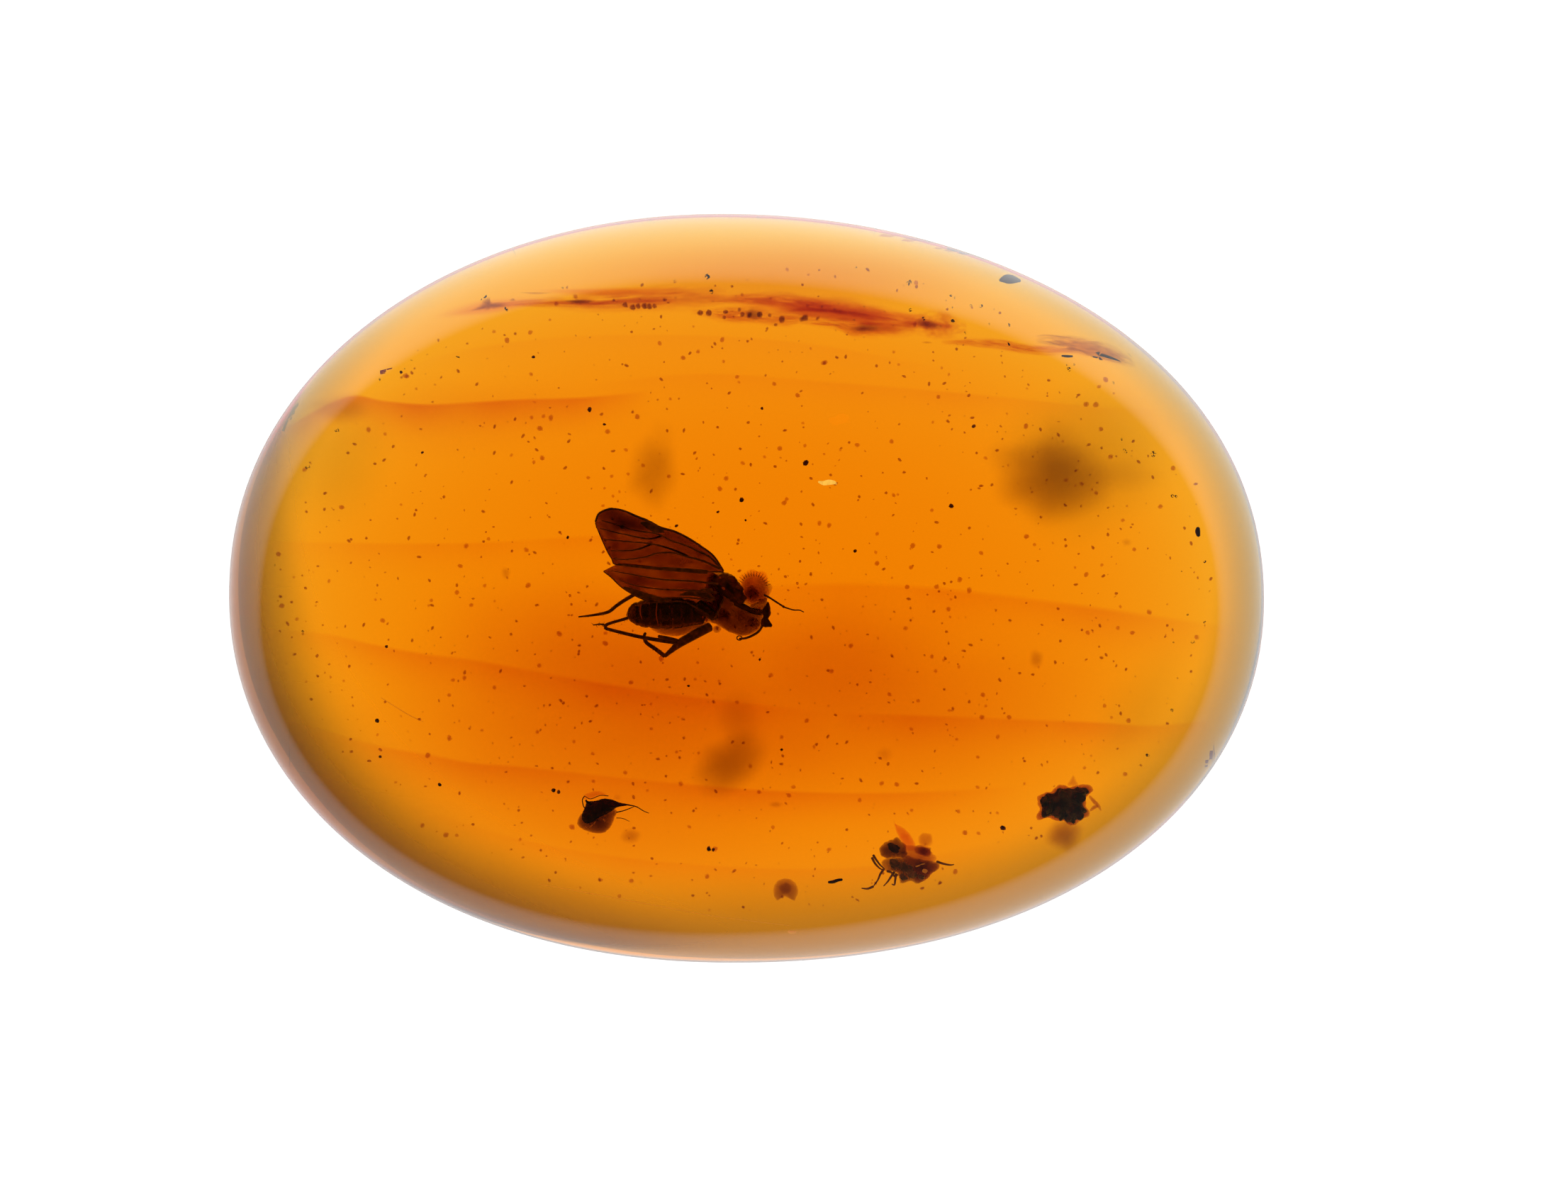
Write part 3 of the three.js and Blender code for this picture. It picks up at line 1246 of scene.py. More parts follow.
        ring = [(-0.17 + 0.06 * math.cos(turn), -1.2 + 0.05 * math.sin(turn), 4.1, 0.014)
                for turn in np.linspace(0.3, 5.8, 9)]
        draft.tube(ring, 20, 6)
        luck = random.Random(draft.seed)
        for line, heights, _ in legs[:6]:
            for _ in range(9):
                spot = luck.random() * (len(line) - 1)
                base = np.array([np.interp(spot, range(len(line)), [point[axis] for point in line])
                                 for axis in (0, 1)])
                angle = luck.random() * 2 * math.pi
                tip = base + 0.075 * np.array([math.cos(angle), math.sin(angle)])
                draft.tube(along((base, (base + tip) / 2, tip), heights[:2], (0.008, 0.003)), 5, 4)
        return draft

    def _antennae(self) -> Draft:
        """Draws the antenna and the hairs on the head.

        Returns:
            The draft.
        """
        draft = Draft(seed=14)
        draft.tube(along(((0.4, -0.2), (0.52, -0.26), (0.66, -0.35), (0.83, -0.46)), (4.6, 4.5),
                         (0.024, 0.022)), 20, 7)
        draft.blob((0.85, -0.475, 4.5), (0.04, 0.03, 0.03), turn=-35)
        draft.tube(along(((0.88, -0.49), (1.08, -0.55), (1.22, -0.555), (1.32, -0.6)), (4.5, 4.4),
                         (0.018, 0.014, 0.012)), 20, 6)
        for turn in np.radians(np.linspace(15, 150, 14)):
            spots = [(0.15 + reach * math.cos(turn), -0.06 + reach * math.sin(turn))
                     for reach in (0.3, 0.36, 0.42)]
            draft.tube(along(spots, (4.6, 4.6), (0.008, 0.003)), 5, 4)
        return draft

    def _pale_spots(self) -> Draft:
        """Draws the pale spots and the lines between the abdomen's segments.

        Returns:
            The draft.
        """
        draft = Draft(seed=15)
        spots = ((-1.45, 0.59, 0.06, 5.24), (-1.52, 0.55, 0.03, 5.24), (-1.38, 0.57, 0.03, 5.24),
                 (-0.54, -0.05, 0.045, 4.92), (-0.62, 0.2, 0.03, 4.9), (0.29, -0.5, 0.035, 4.7),
                 (0.21, -0.98, 0.04, 4.6), (-0.93, -0.78, 0.05, 4.6), (-1.02, -0.72, 0.03, 4.6))
        for x, y, radius, height in spots:
            draft.blob((x, y, height), (radius, radius * 0.6, 0.012), turn=x * 90, lumps=0.5,
                       rings=6, around=10)
        for x, top, low in ((-2.45, -0.42, -0.78), (-2.08, -0.38, -0.92), (-1.62, -0.4, -0.9)):
            line = ((x, top), (x - 0.02, (top + low) / 2), (x + 0.03, low))
            draft.tube(along(line, (4.5, 4.6, 4.45), (0.007, 0.012, 0.006)), 14, 6, flat=0.5)
        return draft


# ---------------------------------------------------------------- the two small insects


@dataclass
class CurledMidge:
    """The left small insect: a black hunched back over a clear brown belly."""

    height: float = 4.5
    back_outline: Path = ((-3.7, -5.0), (-3.5, -4.97), (-3.3, -4.92), (-3.12, -4.95), (-2.95, -5.01),
                          (-2.74, -5.07), (-2.99, -5.12), (-3.1, -5.19), (-3.26, -5.29), (-3.43, -5.36),
                          (-3.53, -5.44), (-3.66, -5.5), (-3.78, -5.47), (-3.83, -5.34), (-3.8, -5.22),
                          (-3.75, -5.12))
    belly_outline: Path = ((-3.86, -5.3), (-3.93, -5.46), (-3.88, -5.58), (-3.73, -5.66), (-3.53, -5.72),
                           (-3.33, -5.72), (-3.21, -5.64), (-3.12, -5.53), (-3.07, -5.37), (-3.01, -5.19),
                           (-3.3, -5.15), (-3.7, -5.22))

    def build(self, workshop: Workshop) -> None:
        """Makes the insect's parts.

        Args:
            workshop: what makes the pieces.
        """
        # The shell's emission is a painted glow standing in for light coming through it.
        shell = ShellFinish("midge_shell", (0.006, 0.004, 0.003), (0.05, 0.02, 0.01),
                            grain=0.1, painted_glow=0.2).dress()
        tissue = StainAndShadeFinish("midge_belly", (9500.0, 12500.0, 13000.0), 1.01).dress()
        film = StainAndShadeFinish("midge_film", (3500.0, 9000.0, 9000.0), 1.005).dress()
        back = Draft(seed=21)
        back.pebble(self.back_outline, self.height, 0.34, ragged=0.012, lumps=0.15)
        back.tube(along(((-3.6, -5.05), (-3.7, -5.0), (-3.73, -4.955)), (4.6, 4.6),
                        (0.035, 0.03, 0.02)), 10, 8)
        for line, radii in ((((-2.85, -5.05), (-2.74, -5.07), (-2.56, -5.11), (-2.39, -5.21), (-2.27, -5.26)),
                             (0.02, 0.012, 0.008)),
                            (((-3.02, -5.24), (-2.85, -5.2), (-2.69, -5.14), (-2.62, -5.11)), (0.014, 0.008)),
                            (((-3.02, -5.37), (-2.88, -5.38), (-2.72, -5.45)), (0.01, 0.006)),
                            (((-3.76, -4.86), (-3.81, -4.95), (-3.79, -5.08), (-3.76, -5.14)),
                             (0.012, 0.012)),
                            (((-3.76, -4.86), (-3.62, -4.93), (-3.4, -4.85), (-3.21, -4.86)), (0.008, 0.01))):
            back.tube(along(line, (4.5, 4.5), radii), 20, 6)
        workshop.make("midge_back_and_legs", back, shell)
        belly = Draft(seed=22)
        belly.pebble(self.belly_outline, self.height - 0.05, 0.3, ragged=0.012, lumps=0.2)
        workshop.make("midge_belly", belly, tissue)
        wing = Draft(seed=23)
        wing.pebble(((-3.79, -4.92), (-3.74, -4.81), (-3.49, -4.74), (-3.33, -4.77), (-3.24, -4.84),
                     (-3.41, -4.84), (-3.62, -4.93)), self.height, 0.07)
        workshop.make("midge_wing", wing, film)
        # Painted glints on the belly: small flakes lit by emission, standing in for highlights.
        pale = Draft(seed=24)
        for x, y, radius, turn in ((-3.61, -5.56, 0.05, 40.0), (-3.53, -5.49, 0.035, 60.0),
                                   (-3.31, -5.42, 0.045, -50.0), (-3.73, -5.58, 0.03, -45.0)):
            pale.blob((x, y, self.height + 0.18), (radius, radius * 0.35, 0.01), turn=turn, lumps=0.5,
                      rings=6, around=10)
        workshop.make("midge_glints", pale, PaintedGlintFinish("midge_glint", (0.55, 0.16, 0.04), 0.35).dress())


@dataclass
class SpreadMidge:
    """The right small insect: a raised wing over a jumbled body with splayed legs."""

    height: float = 4.2

    def build(self, workshop: Workshop) -> None:
        """Makes the insect's parts.

        Args:
            workshop: what makes the pieces.
        """
        # The shell's emission is a painted glow standing in for light coming through it.
        shell = ShellFinish("gnat_shell", (0.06, 0.03, 0.03), (0.34, 0.12, 0.12),
                            grain=0.14, painted_glow=0.3).dress()
        amberish = StainAndShadeFinish("gnat_wing", (3000.0, 10500.0, 9000.0), 1.01).dress()
        brown = StainAndShadeFinish("gnat_tissue", (4600.0, 8000.0, 9000.0), 1.01).dress()
        dark = StainAndShadeFinish("gnat_dark", (6500.0, 8600.0, 7600.0), 1.01).dress()
        self._body(workshop, shell, dark)
        wing = Draft(seed=31)
        wing.pebble(((3.42, -5.5), (3.5, -5.53), (3.6, -5.58), (3.74, -5.69), (3.83, -5.82), (3.9, -5.96),
                     (3.9, -6.12), (3.68, -6.12), (3.6, -5.96), (3.51, -5.78), (3.45, -5.64)),
                    self.height + 0.25, 0.1, ragged=0.006, lumps=0.3)
        wing.tube(along(((3.46, -5.55), (3.42, -5.48), (3.4, -5.4)), (4.4, 4.4), (0.02, 0.004)), 8, 6)
        workshop.make("gnat_wing", wing, amberish)
        red = Draft(seed=32)
        red.pebble(((3.6, -6.05), (3.9, -6.02), (4.3, -6.18), (4.4, -6.36), (4.05, -6.46), (3.66, -6.42)),
                   self.height - 0.2, 0.2, ragged=0.03, lumps=0.4)
        red.blob((4.14, -5.88, self.height), (0.17, 0.17, 0.05), lumps=0.3)
        red.blob((4.08, -6.13, self.height + 0.2), (0.2, 0.13, 0.12), turn=-15, lumps=0.3)
        red.blob((4.12, -6.14, self.height + 0.5), (0.14, 0.09, 0.1), turn=-15, lumps=0.3)
        red.pebble(((3.86, -6.48), (4.1, -6.4), (4.4, -6.42), (4.46, -6.5), (4.3, -6.64), (4.14, -6.82),
                    (3.95, -6.86), (3.84, -6.7)), self.height - 0.6, 0.24, ragged=0.03, lumps=0.4)
        workshop.make("gnat_tissue", red, brown)
        # Painted glints: small flakes lit by emission, standing in for highlights on the body.
        pale = Draft(seed=33)
        pale.blob((4.13, -6.6, self.height + 0.24), (0.055, 0.05, 0.02), lumps=0.5)
        pale.blob((3.97, -6.48, self.height + 0.24), (0.06, 0.018, 0.01), turn=20, lumps=0.4)
        pale.blob((4.08, -6.44, self.height + 0.24), (0.05, 0.014, 0.01), turn=12, lumps=0.4)
        workshop.make("gnat_glints", pale, PaintedGlintFinish("gnat_glint", (0.55, 0.24, 0.08), 0.5).dress())

    def _body(self, workshop: Workshop, shell: bpy.types.Material, dark: bpy.types.Material) -> None:
        """Makes the soft body, the hard lumps in it and the legs.

        Args:
            workshop: what makes the pieces.
            shell: the finish of what is hard.
            dark: the finish of what is soft.
        """
        soft = Draft(seed=34)
        soft.pebble(((3.08, -6.08), (3.2, -5.95), (3.45, -5.83), (3.58, -5.88), (3.7, -6.05), (3.7, -6.26),
                     (3.5, -6.3), (3.22, -6.3), (3.1, -6.2)), self.height + 0.12, 0.4, ragged=0.035,
                    lumps=0.5)
        soft.pebble(((3.18, -6.34), (3.5, -6.24), (3.8, -6.26), (4.1, -6.34), (4.4, -6.4), (4.48, -6.5),
                     (4.3, -6.66), (4.14, -6.8), (3.98, -6.88), (3.8, -6.84), (3.58, -6.86), (3.52, -6.7),
                     (3.36, -6.6), (3.16, -6.58)), self.height - 0.3, 0.34, ragged=0.05, lumps=0.6)
        workshop.make("gnat_soft_body", soft, dark)
        draft = Draft(seed=30)
        for x, y, radius in ((3.4, -6.06, 0.13), (3.44, -6.44, 0.15), (3.68, -6.52, 0.15),
                             (3.82, -6.66, 0.12), (3.62, -6.74, 0.09), (4.05, -6.74, 0.08)):
            draft.blob((x, y, self.height + 0.1), (radius, radius * 0.7, 0.1), turn=-25, lumps=0.6)
        legs = (
            ((2.93, -6.23), (3.0, -6.34), (3.09, -6.46), (3.2, -6.56)),
            ((2.9, -6.29), (2.97, -6.42), (3.07, -6.53), (3.16, -6.58)),
            ((3.17, -6.56), (3.09, -6.68), (3.04, -6.8), (2.93, -6.96)),
            ((3.42, -6.62), (3.33, -6.75), (3.27, -6.84), (3.17, -6.95)),
            ((3.46, -6.66), (3.44, -6.8), (3.42, -6.92), (3.36, -6.9)),
            ((3.25, -6.6), (3.36, -6.64), (3.44, -6.74), (3.5, -6.68)),
            ((4.4, -6.38), (4.55, -6.43), (4.71, -6.46), (4.8, -6.45)),
            ((2.93, -6.96), (2.8, -7.01), (2.66, -7.0)),
        )
        for line in legs:
            draft.tube(along(line, (4.2, 4.1), (0.03, 0.024, 0.012)), 20, 6, paint=0.15)
        workshop.make("gnat_body_and_legs", draft, shell)


# ---------------------------------------------------------------- other bodies


@dataclass
class HuddledBeetle:
    """The dark ragged lump at the lower right, with a soft stain under it."""

    height: float = 4.0
    outline: Path = ((6.75, -4.88), (6.9, -4.78), (7.04, -4.76), (7.15, -4.67), (7.29, -4.6), (7.54, -4.63),
                     (7.82, -4.59), (7.97, -4.65), (8.03, -4.74), (7.89, -4.85), (7.86, -4.99), (7.89, -5.13),
                     (7.96, -5.24), (7.84, -5.38), (7.7, -5.46), (7.59, -5.53), (7.43, -5.5), (7.25, -5.42),
                     (7.11, -5.39), (6.97, -5.36), (6.78, -5.42), (6.72, -5.36), (6.76, -5.2), (6.75, -5.02))

    def build(self, workshop: Workshop) -> None:
        """Makes the lump, its clear edges and its stain.

        Args:
            workshop: what makes the pieces.
        """
        lump = Draft(seed=41)
        inner = [(7.38 + (x - 7.38) * 0.84, -5.05 + (y + 5.05) * 0.86) for x, y in self.outline]
        lump.pebble(inner, self.height, 0.5, around=140, ragged=0.05, lumps=0.4)
        for x, y, radius in ((7.0, -5.1, 0.17), (7.35, -4.9, 0.2), (7.6, -5.2, 0.22), (7.7, -4.85, 0.16),
                             (7.25, -5.25, 0.16), (6.9, -4.98, 0.12), (7.5, -5.38, 0.12)):
            lump.blob((x, y, self.height + 0.15), (radius, radius * 0.8, 0.14), turn=x * 90, lumps=0.6,
                      rings=14, around=26)
        # The shell's emission is a painted glow standing in for light coming through it.
        shell = ShellFinish("beetle_shell", (0.006, 0.004, 0.004), (0.12, 0.07, 0.07),
                            grain=0.2, painted_glow=0.3).dress()
        workshop.make("beetle_lump", lump, shell)
        edge = Draft(seed=42)
        edge.pebble(self.outline, self.height - 0.05, 0.2, Profile.SLAB, around=140, ragged=0.06, lumps=0.3)
        edge.tube(along(((7.94, -4.86), (8.04, -4.98), (8.14, -5.08), (8.21, -5.2)), (4.4, 4.3),
                        (0.03, 0.05, 0.045, 0.02)), 16, 7)
        edge.tube(along(((7.96, -5.2), (8.06, -5.12), (8.14, -5.1)), (4.6, 4.6), (0.03, 0.05, 0.03)), 10, 7)
        edge.pebble(((7.43, -4.62), (7.5, -4.48), (7.57, -4.38), (7.63, -4.5), (7.68, -4.62)),
                    self.height + 0.3, 0.05)
        red = StainAndShadeFinish("beetle_edge", (6500.0, 12000.0, 12000.0), 1.01)
        workshop.make("beetle_edges", edge, red.dress())


@dataclass
class SmallRemains:
    """The curled disc, the short rod and the lone flecks."""

    disc_centre: Flat = (0.9, -7.06)
    disc_radius: float = 0.29

    def build(self, workshop: Workshop) -> None:
        """Makes the disc, the rod and the flecks.

        Args:
            workshop: what makes the pieces.
        """
        disc = Draft(seed=51)
        x, y = self.disc_centre
        radius = self.disc_radius
        outline = [(x + radius * math.cos(turn), y + radius * math.sin(turn))
                   for turn in np.radians(np.linspace(-50, 230, 16))]
        outline.append((x - 0.03, y - 0.13))
        disc.pebble(outline, 4.4, 0.26, around=64, ragged=0.012, lumps=0.25)
        disc.blob((x, y + 0.06, 4.7), (0.15, 0.13, 0.05), lumps=0.2)
        workshop.make("curled_disc", disc, StainAndShadeFinish("disc_brown", (4200.0, 6200.0, 7000.0), 1.01).dress())
        dark = Draft(seed=52)
        dark.tube(along(((1.89, -6.86), (2.0, -6.85), (2.12, -6.81), (2.21, -6.8)), (4.5, 4.5),
                        (0.028, 0.04, 0.036, 0.03)), 16, 8)
        dark.tube(along(((5.86, 7.09), (6.0, 7.12), (6.15, 7.11), (6.34, 7.08)), (1.0, 1.0),
                        (0.03, 0.1, 0.1, 0.03)), 16, 10, flat=0.6)
        dark.tube(along(((10.46, 1.36), (10.45, 1.27), (10.47, 1.16)), (4.0, 4.0), (0.04, 0.06, 0.04)), 12, 8)
        dark.tube(along(((7.3, 5.34), (7.43, 5.33), (7.55, 5.33)), (3.0, 3.0), (0.02, 0.03, 0.02)), 12, 6)
        charred = ShellFinish("charred_fleck", (0.01, 0.005, 0.003), (0.08, 0.03, 0.01), grain=0.1)
        workshop.make("rod_and_flecks", dark, charred.dress())
        # A fleck lit by a painted glint: emission standing in for the light that a small flaw near the
        # surface reflects.
        flaws = Draft(seed=53)
        flaws.tube(along(((1.66, 2.42), (1.78, 2.39), (1.9, 2.41), (2.03, 2.4), (2.08, 2.36)), (5.4, 5.4),
                         (0.02, 0.05, 0.06, 0.04, 0.01)), 20, 8, flat=0.2)
        workshop.make("painted_glint_fleck", flaws, PaintedGlintFinish("painted_glint_fleck", (1.0, 0.85, 0.8), 1.2).dress())
        # Hairlines lit by a painted glint: emission standing in for the light that thin cracks and the edge
        # reflect.
        hairs = Draft(seed=54)
        hairs.tube(along(((-8.48, -2.58), (-8.1, -2.82), (-7.8, -3.0), (-7.5, -3.14)), (4.5, 4.5),
                         (0.006, 0.01, 0.006)), 24, 5)
        hairs.tube(along(((0.96, -8.0), (1.04, -8.02), (1.14, -8.01)), (4.8, 4.8), (0.02, 0.03, 0.02)), 10, 6)
        hairs.tube(along(((-4.82, -6.9), (-4.0, -7.05), (-3.15, -7.21), (-2.0, -7.42), (-0.8, -7.64),
                          (1.01, -7.87)), (4.9, 4.9), (0.004, 0.007, 0.006, 0.004)), 60, 5)
        glint = PaintedGlintFinish("painted_glint_hairline", (0.9, 0.42, 0.1), 0.7)
        workshop.make("painted_glint_hairlines", hairs, glint.dress())


@dataclass
class BarkStreak:
    """The reddish strip of plant tissue across the upper side, with its pellets and splinters."""

    height: float = 3.3
    ply_gap: float = 0.13  # between the strands that lie over each other
    ribbon_gap: float = 0.34  # between the soft ribbons that lie over each other
    ribbon_depth: float = 0.2
    bands: Sequence[tuple[Path, Sequence[float]]] = (
        (((-5.8, 6.53), (-4.8, 6.57), (-3.84, 6.58), (-2.93, 6.62), (-1.9, 6.68), (-1.0, 6.7), (-0.44, 6.72)),
         (0.03, 0.08, 0.15, 0.18, 0.2, 0.2, 0.12)),
        (((-0.9, 6.62), (0.1, 6.64), (0.9, 6.6), (1.6, 6.52), (2.4, 6.4)), (0.05, 0.1, 0.16, 0.12, 0.05)),
        (((0.6, 6.35), (1.5, 6.38), (2.4, 6.3), (3.3, 6.16), (4.2, 6.08)), (0.06, 0.22, 0.26, 0.2, 0.08)),
        (((1.2, 6.14), (2.08, 6.06), (2.4, 5.96), (2.77, 5.98), (3.4, 5.98), (3.9, 5.96)),
         (0.05, 0.08, 0.13, 0.16, 0.15, 0.1)),
        (((3.6, 6.08), (4.15, 6.08), (4.6, 6.04), (5.1, 5.98)), (0.1, 0.2, 0.22, 0.08)),
        (((4.5, 5.65), (5.1, 5.66), (5.76, 5.62), (6.46, 5.5), (7.1, 5.46), (7.6, 5.44)),
         (0.03, 0.07, 0.09, 0.08, 0.08, 0.03)),
        (((-1.3, 6.38), (-0.6, 6.3), (0.2, 6.29), (0.9, 6.18), (1.5, 6.18)), (0.04, 0.12, 0.14, 0.12, 0.06)),
    )
    frayed_end: tuple[Path, Sequence[float]] = (
        ((6.7, 5.72), (7.3, 5.64), (7.9, 5.54), (8.4, 5.4), (8.8, 5.24), (9.0, 5.12)),
        (0.06, 0.12, 0.14, 0.14, 0.09, 0.04))
    knots: Sequence[Path] = (
        ((-6.5, 6.36), (-6.24, 6.5), (-6.14, 6.66), (-5.98, 6.74), (-5.9, 6.6), (-5.62, 6.6), (-5.4, 6.5),
         (-5.8, 6.42), (-6.2, 6.38)),
        ((2.3, 5.96), (2.6, 6.08), (3.05, 6.06), (3.2, 5.96), (2.9, 5.88), (2.5, 5.88)),
        ((3.85, 6.18), (4.1, 6.22), (4.4, 6.12), (4.55, 5.98), (4.3, 5.94), (4.0, 6.0)),
        ((-4.3, 6.62), (-3.9, 6.66), (-3.5, 6.62), (-3.6, 6.54), (-4.0, 6.53)),
        ((0.0, 6.44), (0.3, 6.42), (0.4, 6.24), (0.2, 6.14), (-0.05, 6.2), (-0.1, 6.34)),
        ((7.6, 5.52), (8.0, 5.46), (8.5, 5.3), (8.7, 5.16), (8.2, 5.26), (7.8, 5.38)),
    )
    pellets: Sequence[Flat] = (
        (-2.82, 6.52), (-2.64, 6.46), (-2.52, 6.49), (-2.37, 6.49), (-2.26, 6.48), (-2.14, 6.49),
        (-1.9, 6.64), (-1.08, 6.34), (-0.88, 6.34), (-0.52, 6.23), (-0.49, 6.36), (-0.17, 6.41), (-0.1, 6.3),
        (0.07, 6.29), (0.3, 6.3), (0.53, 6.28), (0.81, 6.19), (0.67, 6.06), (1.27, 6.19), (1.35, 6.22))

    def build(self, workshop: Workshop) -> None:
        """Makes the strip, its pellets and its splinters.

        Args:
            workshop: what makes the pieces.
        """
        luck = random.Random(61)
        strip = Draft(seed=61)
        for line, widths in self.bands:
            centre = curve(np.column_stack([line, widths]), 24)
            for ply in range(9):
                aside = luck.uniform(-0.8, 0.8)
                start = luck.randrange(0, 8)
                end = luck.randrange(14, 24)
                strand = centre[start:end:3]
                wave = np.array([luck.gauss(0, 0.012) for _ in strand])
                seen = np.column_stack([strand[:, 0], strand[:, 1] + aside * strand[:, 2] + wave])
                girth = np.maximum(0.012, strand[:, 2] * luck.uniform(0.1, 0.26))
                depth = self.height + self.ply_gap * (ply - 4)
                girth[0] *= 0.4
                girth[-1] *= 0.4
                strip.tube(np.column_stack([seen, np.full(len(seen), depth), girth]), 22, 8, flat=0.6)
        red = StainAndShadeFinish("bark_red", (1500.0, 4300.0, 5600.0)).dress()
        workshop.make("bark_strip", strip, red)
        ribbons = Draft(seed=64)
        for index, (line, widths) in enumerate(self.bands):
            self._ribbon(ribbons, line, widths, index)
        workshop.make("bark_ribbons", ribbons, red)
        frayed = Draft(seed=65)
        self._ribbon(frayed, *self.frayed_end, 3)
        brown = StainAndShadeFinish("bark_brown", (3000.0, 4300.0, 5600.0)).dress()
        workshop.make("bark_frayed_end", frayed, brown)
        knots = Draft(seed=66)
        for outline in self.knots:
            knots.pebble(outline, self.height + 0.9, 0.32, Profile.FEATHERED, rings=12,
                         ragged=0.04, lumps=0.6)
        workshop.make("bark_knots", knots, brown)
        self._veil(workshop)
        self._dark_bits(workshop, luck)

    def _ribbon(self, draft: Draft, line: Path, widths: Sequence[float], index: int) -> None:
        """Draws one soft ribbon of fibres.

        Args:
            draft: what it is drawn in.
            line: its middle line.
            widths: its half widths along the line.
            index: picks its height and fibres.
        """
        def thick(place: float, share: np.ndarray) -> np.ndarray:
            """Gives the ribbon's thickness, streaked along its fibres.

            Args:
                place: how far along the ribbon, 0 to 1.
                share: how far across it.

            Returns:
                A thickness for each share.
            """
            along_strip = np.full(len(share), place * 2.5)
            fibre = np.column_stack([along_strip, share * 2.2, np.full(len(share), index)])
            body = np.sin(math.pi * share) ** 1.4 * math.sin(math.pi * place) ** 0.5
            streaks = 0.75 + 0.9 * ruffle(fibre, 0.5, index) + 0.6 * ruffle(fibre, 0.17, index + 3)
            return self.ribbon_depth * body * np.clip(streaks, 0.05, 1.8)

        def lift(place: float, share: np.ndarray) -> np.ndarray:
            """Keeps the ribbon flat."""
            return np.zeros_like(share)

        centre = np.asarray(line, float)
        reach = np.asarray(widths, float) * 1.7
        height = np.full(len(centre), self.height + self.ribbon_gap * (index % 3 - 1))
        front = np.column_stack([centre[:, 0], centre[:, 1] + reach, height])
        rear = np.column_stack([centre[:, 0], centre[:, 1] - reach, height])
        draft.panel(front, rear, thick, lift, steps=110, across=26)

    def _veil(self, workshop: Workshop) -> None:
        """Makes the thin haze round the strip.

        Args:
            workshop: what makes the piece.
        """
        draft = Draft(seed=62)
        draft.pebble(((-1.2, 6.78), (0.2, 6.84), (1.4, 6.76), (2.6, 6.6), (3.8, 6.36), (4.7, 6.22),
                      (4.9, 6.02), (3.9, 5.92), (2.6, 6.0), (1.4, 6.22), (0.0, 6.44)), self.height - 0.3, 0.9,
                     Profile.FEATHERED, around=80, rings=14, lumps=0.2)
        draft.pebble(((-5.2, 6.86), (-4.0, 6.92), (-2.4, 6.95), (-1.0, 6.9), (-1.2, 6.74), (-2.6, 6.7),
                      (-4.2, 6.72)), self.height + 0.4, 0.5, Profile.FEATHERED, around=64, rings=12)
        draft.pebble(((-7.4, 6.22), (-6.4, 6.62), (-5.3, 6.72), (-4.3, 6.66), (-5.2, 6.42), (-6.3, 6.24)),
                     self.height - 0.4, 0.5, Profile.FEATHERED, around=64, rings=12)
        draft.pebble(((6.9, 5.82), (7.8, 5.8), (8.6, 5.54), (9.0, 5.24), (8.7, 5.08), (8.0, 5.24),
                      (7.0, 5.5)),
                     self.height - 0.4, 0.4, Profile.FEATHERED, around=64, rings=12)
        workshop.make("bark_veil", draft, StainAndShadeFinish("bark_veil", (240.0, 1050.0, 1000.0)).dress())

    def _dark_bits(self, workshop: Workshop, luck: random.Random) -> None:
        """Makes the pellets and splinters.

        Args:
            workshop: what makes the piece.
            luck: gives the pellets' sizes.
        """
        bits = Draft(seed=63)
        for x, y in self.pellets:
            size = luck.uniform(0.045, 0.085)
            middle = (x, y, self.height + luck.uniform(-0.1, 0.2))
            bits.blob(middle, (size, size * luck.uniform(0.7, 1.2), size), lumps=0.5, rings=6, around=10)
        splinters = (
            ((-5.5, 6.62), (-5.42, 6.64), (-5.36, 6.62), 0.04),
            ((-5.25, 6.81), (-4.9, 6.79), (-4.55, 6.8), 0.03),
            ((1.95, 6.06), (2.1, 6.05), (2.2, 6.03), 0.025),
            ((4.45, 6.06), (4.5, 6.02), (4.52, 5.98), 0.035),
            ((4.05, 5.65), (4.18, 5.65), (4.3, 5.64), 0.03),
            ((4.84, 5.64), (4.88, 5.6), (4.9, 5.58), 0.02),
            ((6.7, 5.8), (6.94, 5.82), (7.3, 5.78), (7.7, 5.72), 0.03),
            ((7.3, 5.5), (7.55, 5.5), (7.75, 5.46), 0.045),
            ((7.7, 5.4), (8.07, 5.32), (8.4, 5.24), (8.78, 5.14), 0.03),
            ((7.9, 5.68), (8.11, 5.65), (8.3, 5.58), 0.03),
            ((8.3, 5.45), (8.6, 5.34), (8.9, 5.24), 0.02),
            ((8.5, 5.56), (8.75, 5.44), (8.95, 5.3), 0.018),
        )
        for *line, girth in splinters:
            path = along(line, (self.height + 0.1, self.height + 0.1), (girth * 0.3, girth, girth * 0.3))
            bits.tube(path, 20, 7, flat=0.6)
        clear = StainAndShadeFinish("bark_bits", (8000.0, 12000.0, 14000.0))
        workshop.make("bark_pellets_and_splinters", bits, clear.dress())


# ---------------------------------------------------------------- flow layers, clouds and specks


@dataclass(frozen=True)
class FlowLayer:
    """One skin between two pours of resin: sharp at its line, fading away below it."""

    line: Path
    reach: float  # how far the fade runs towards -Y
    thickness: float


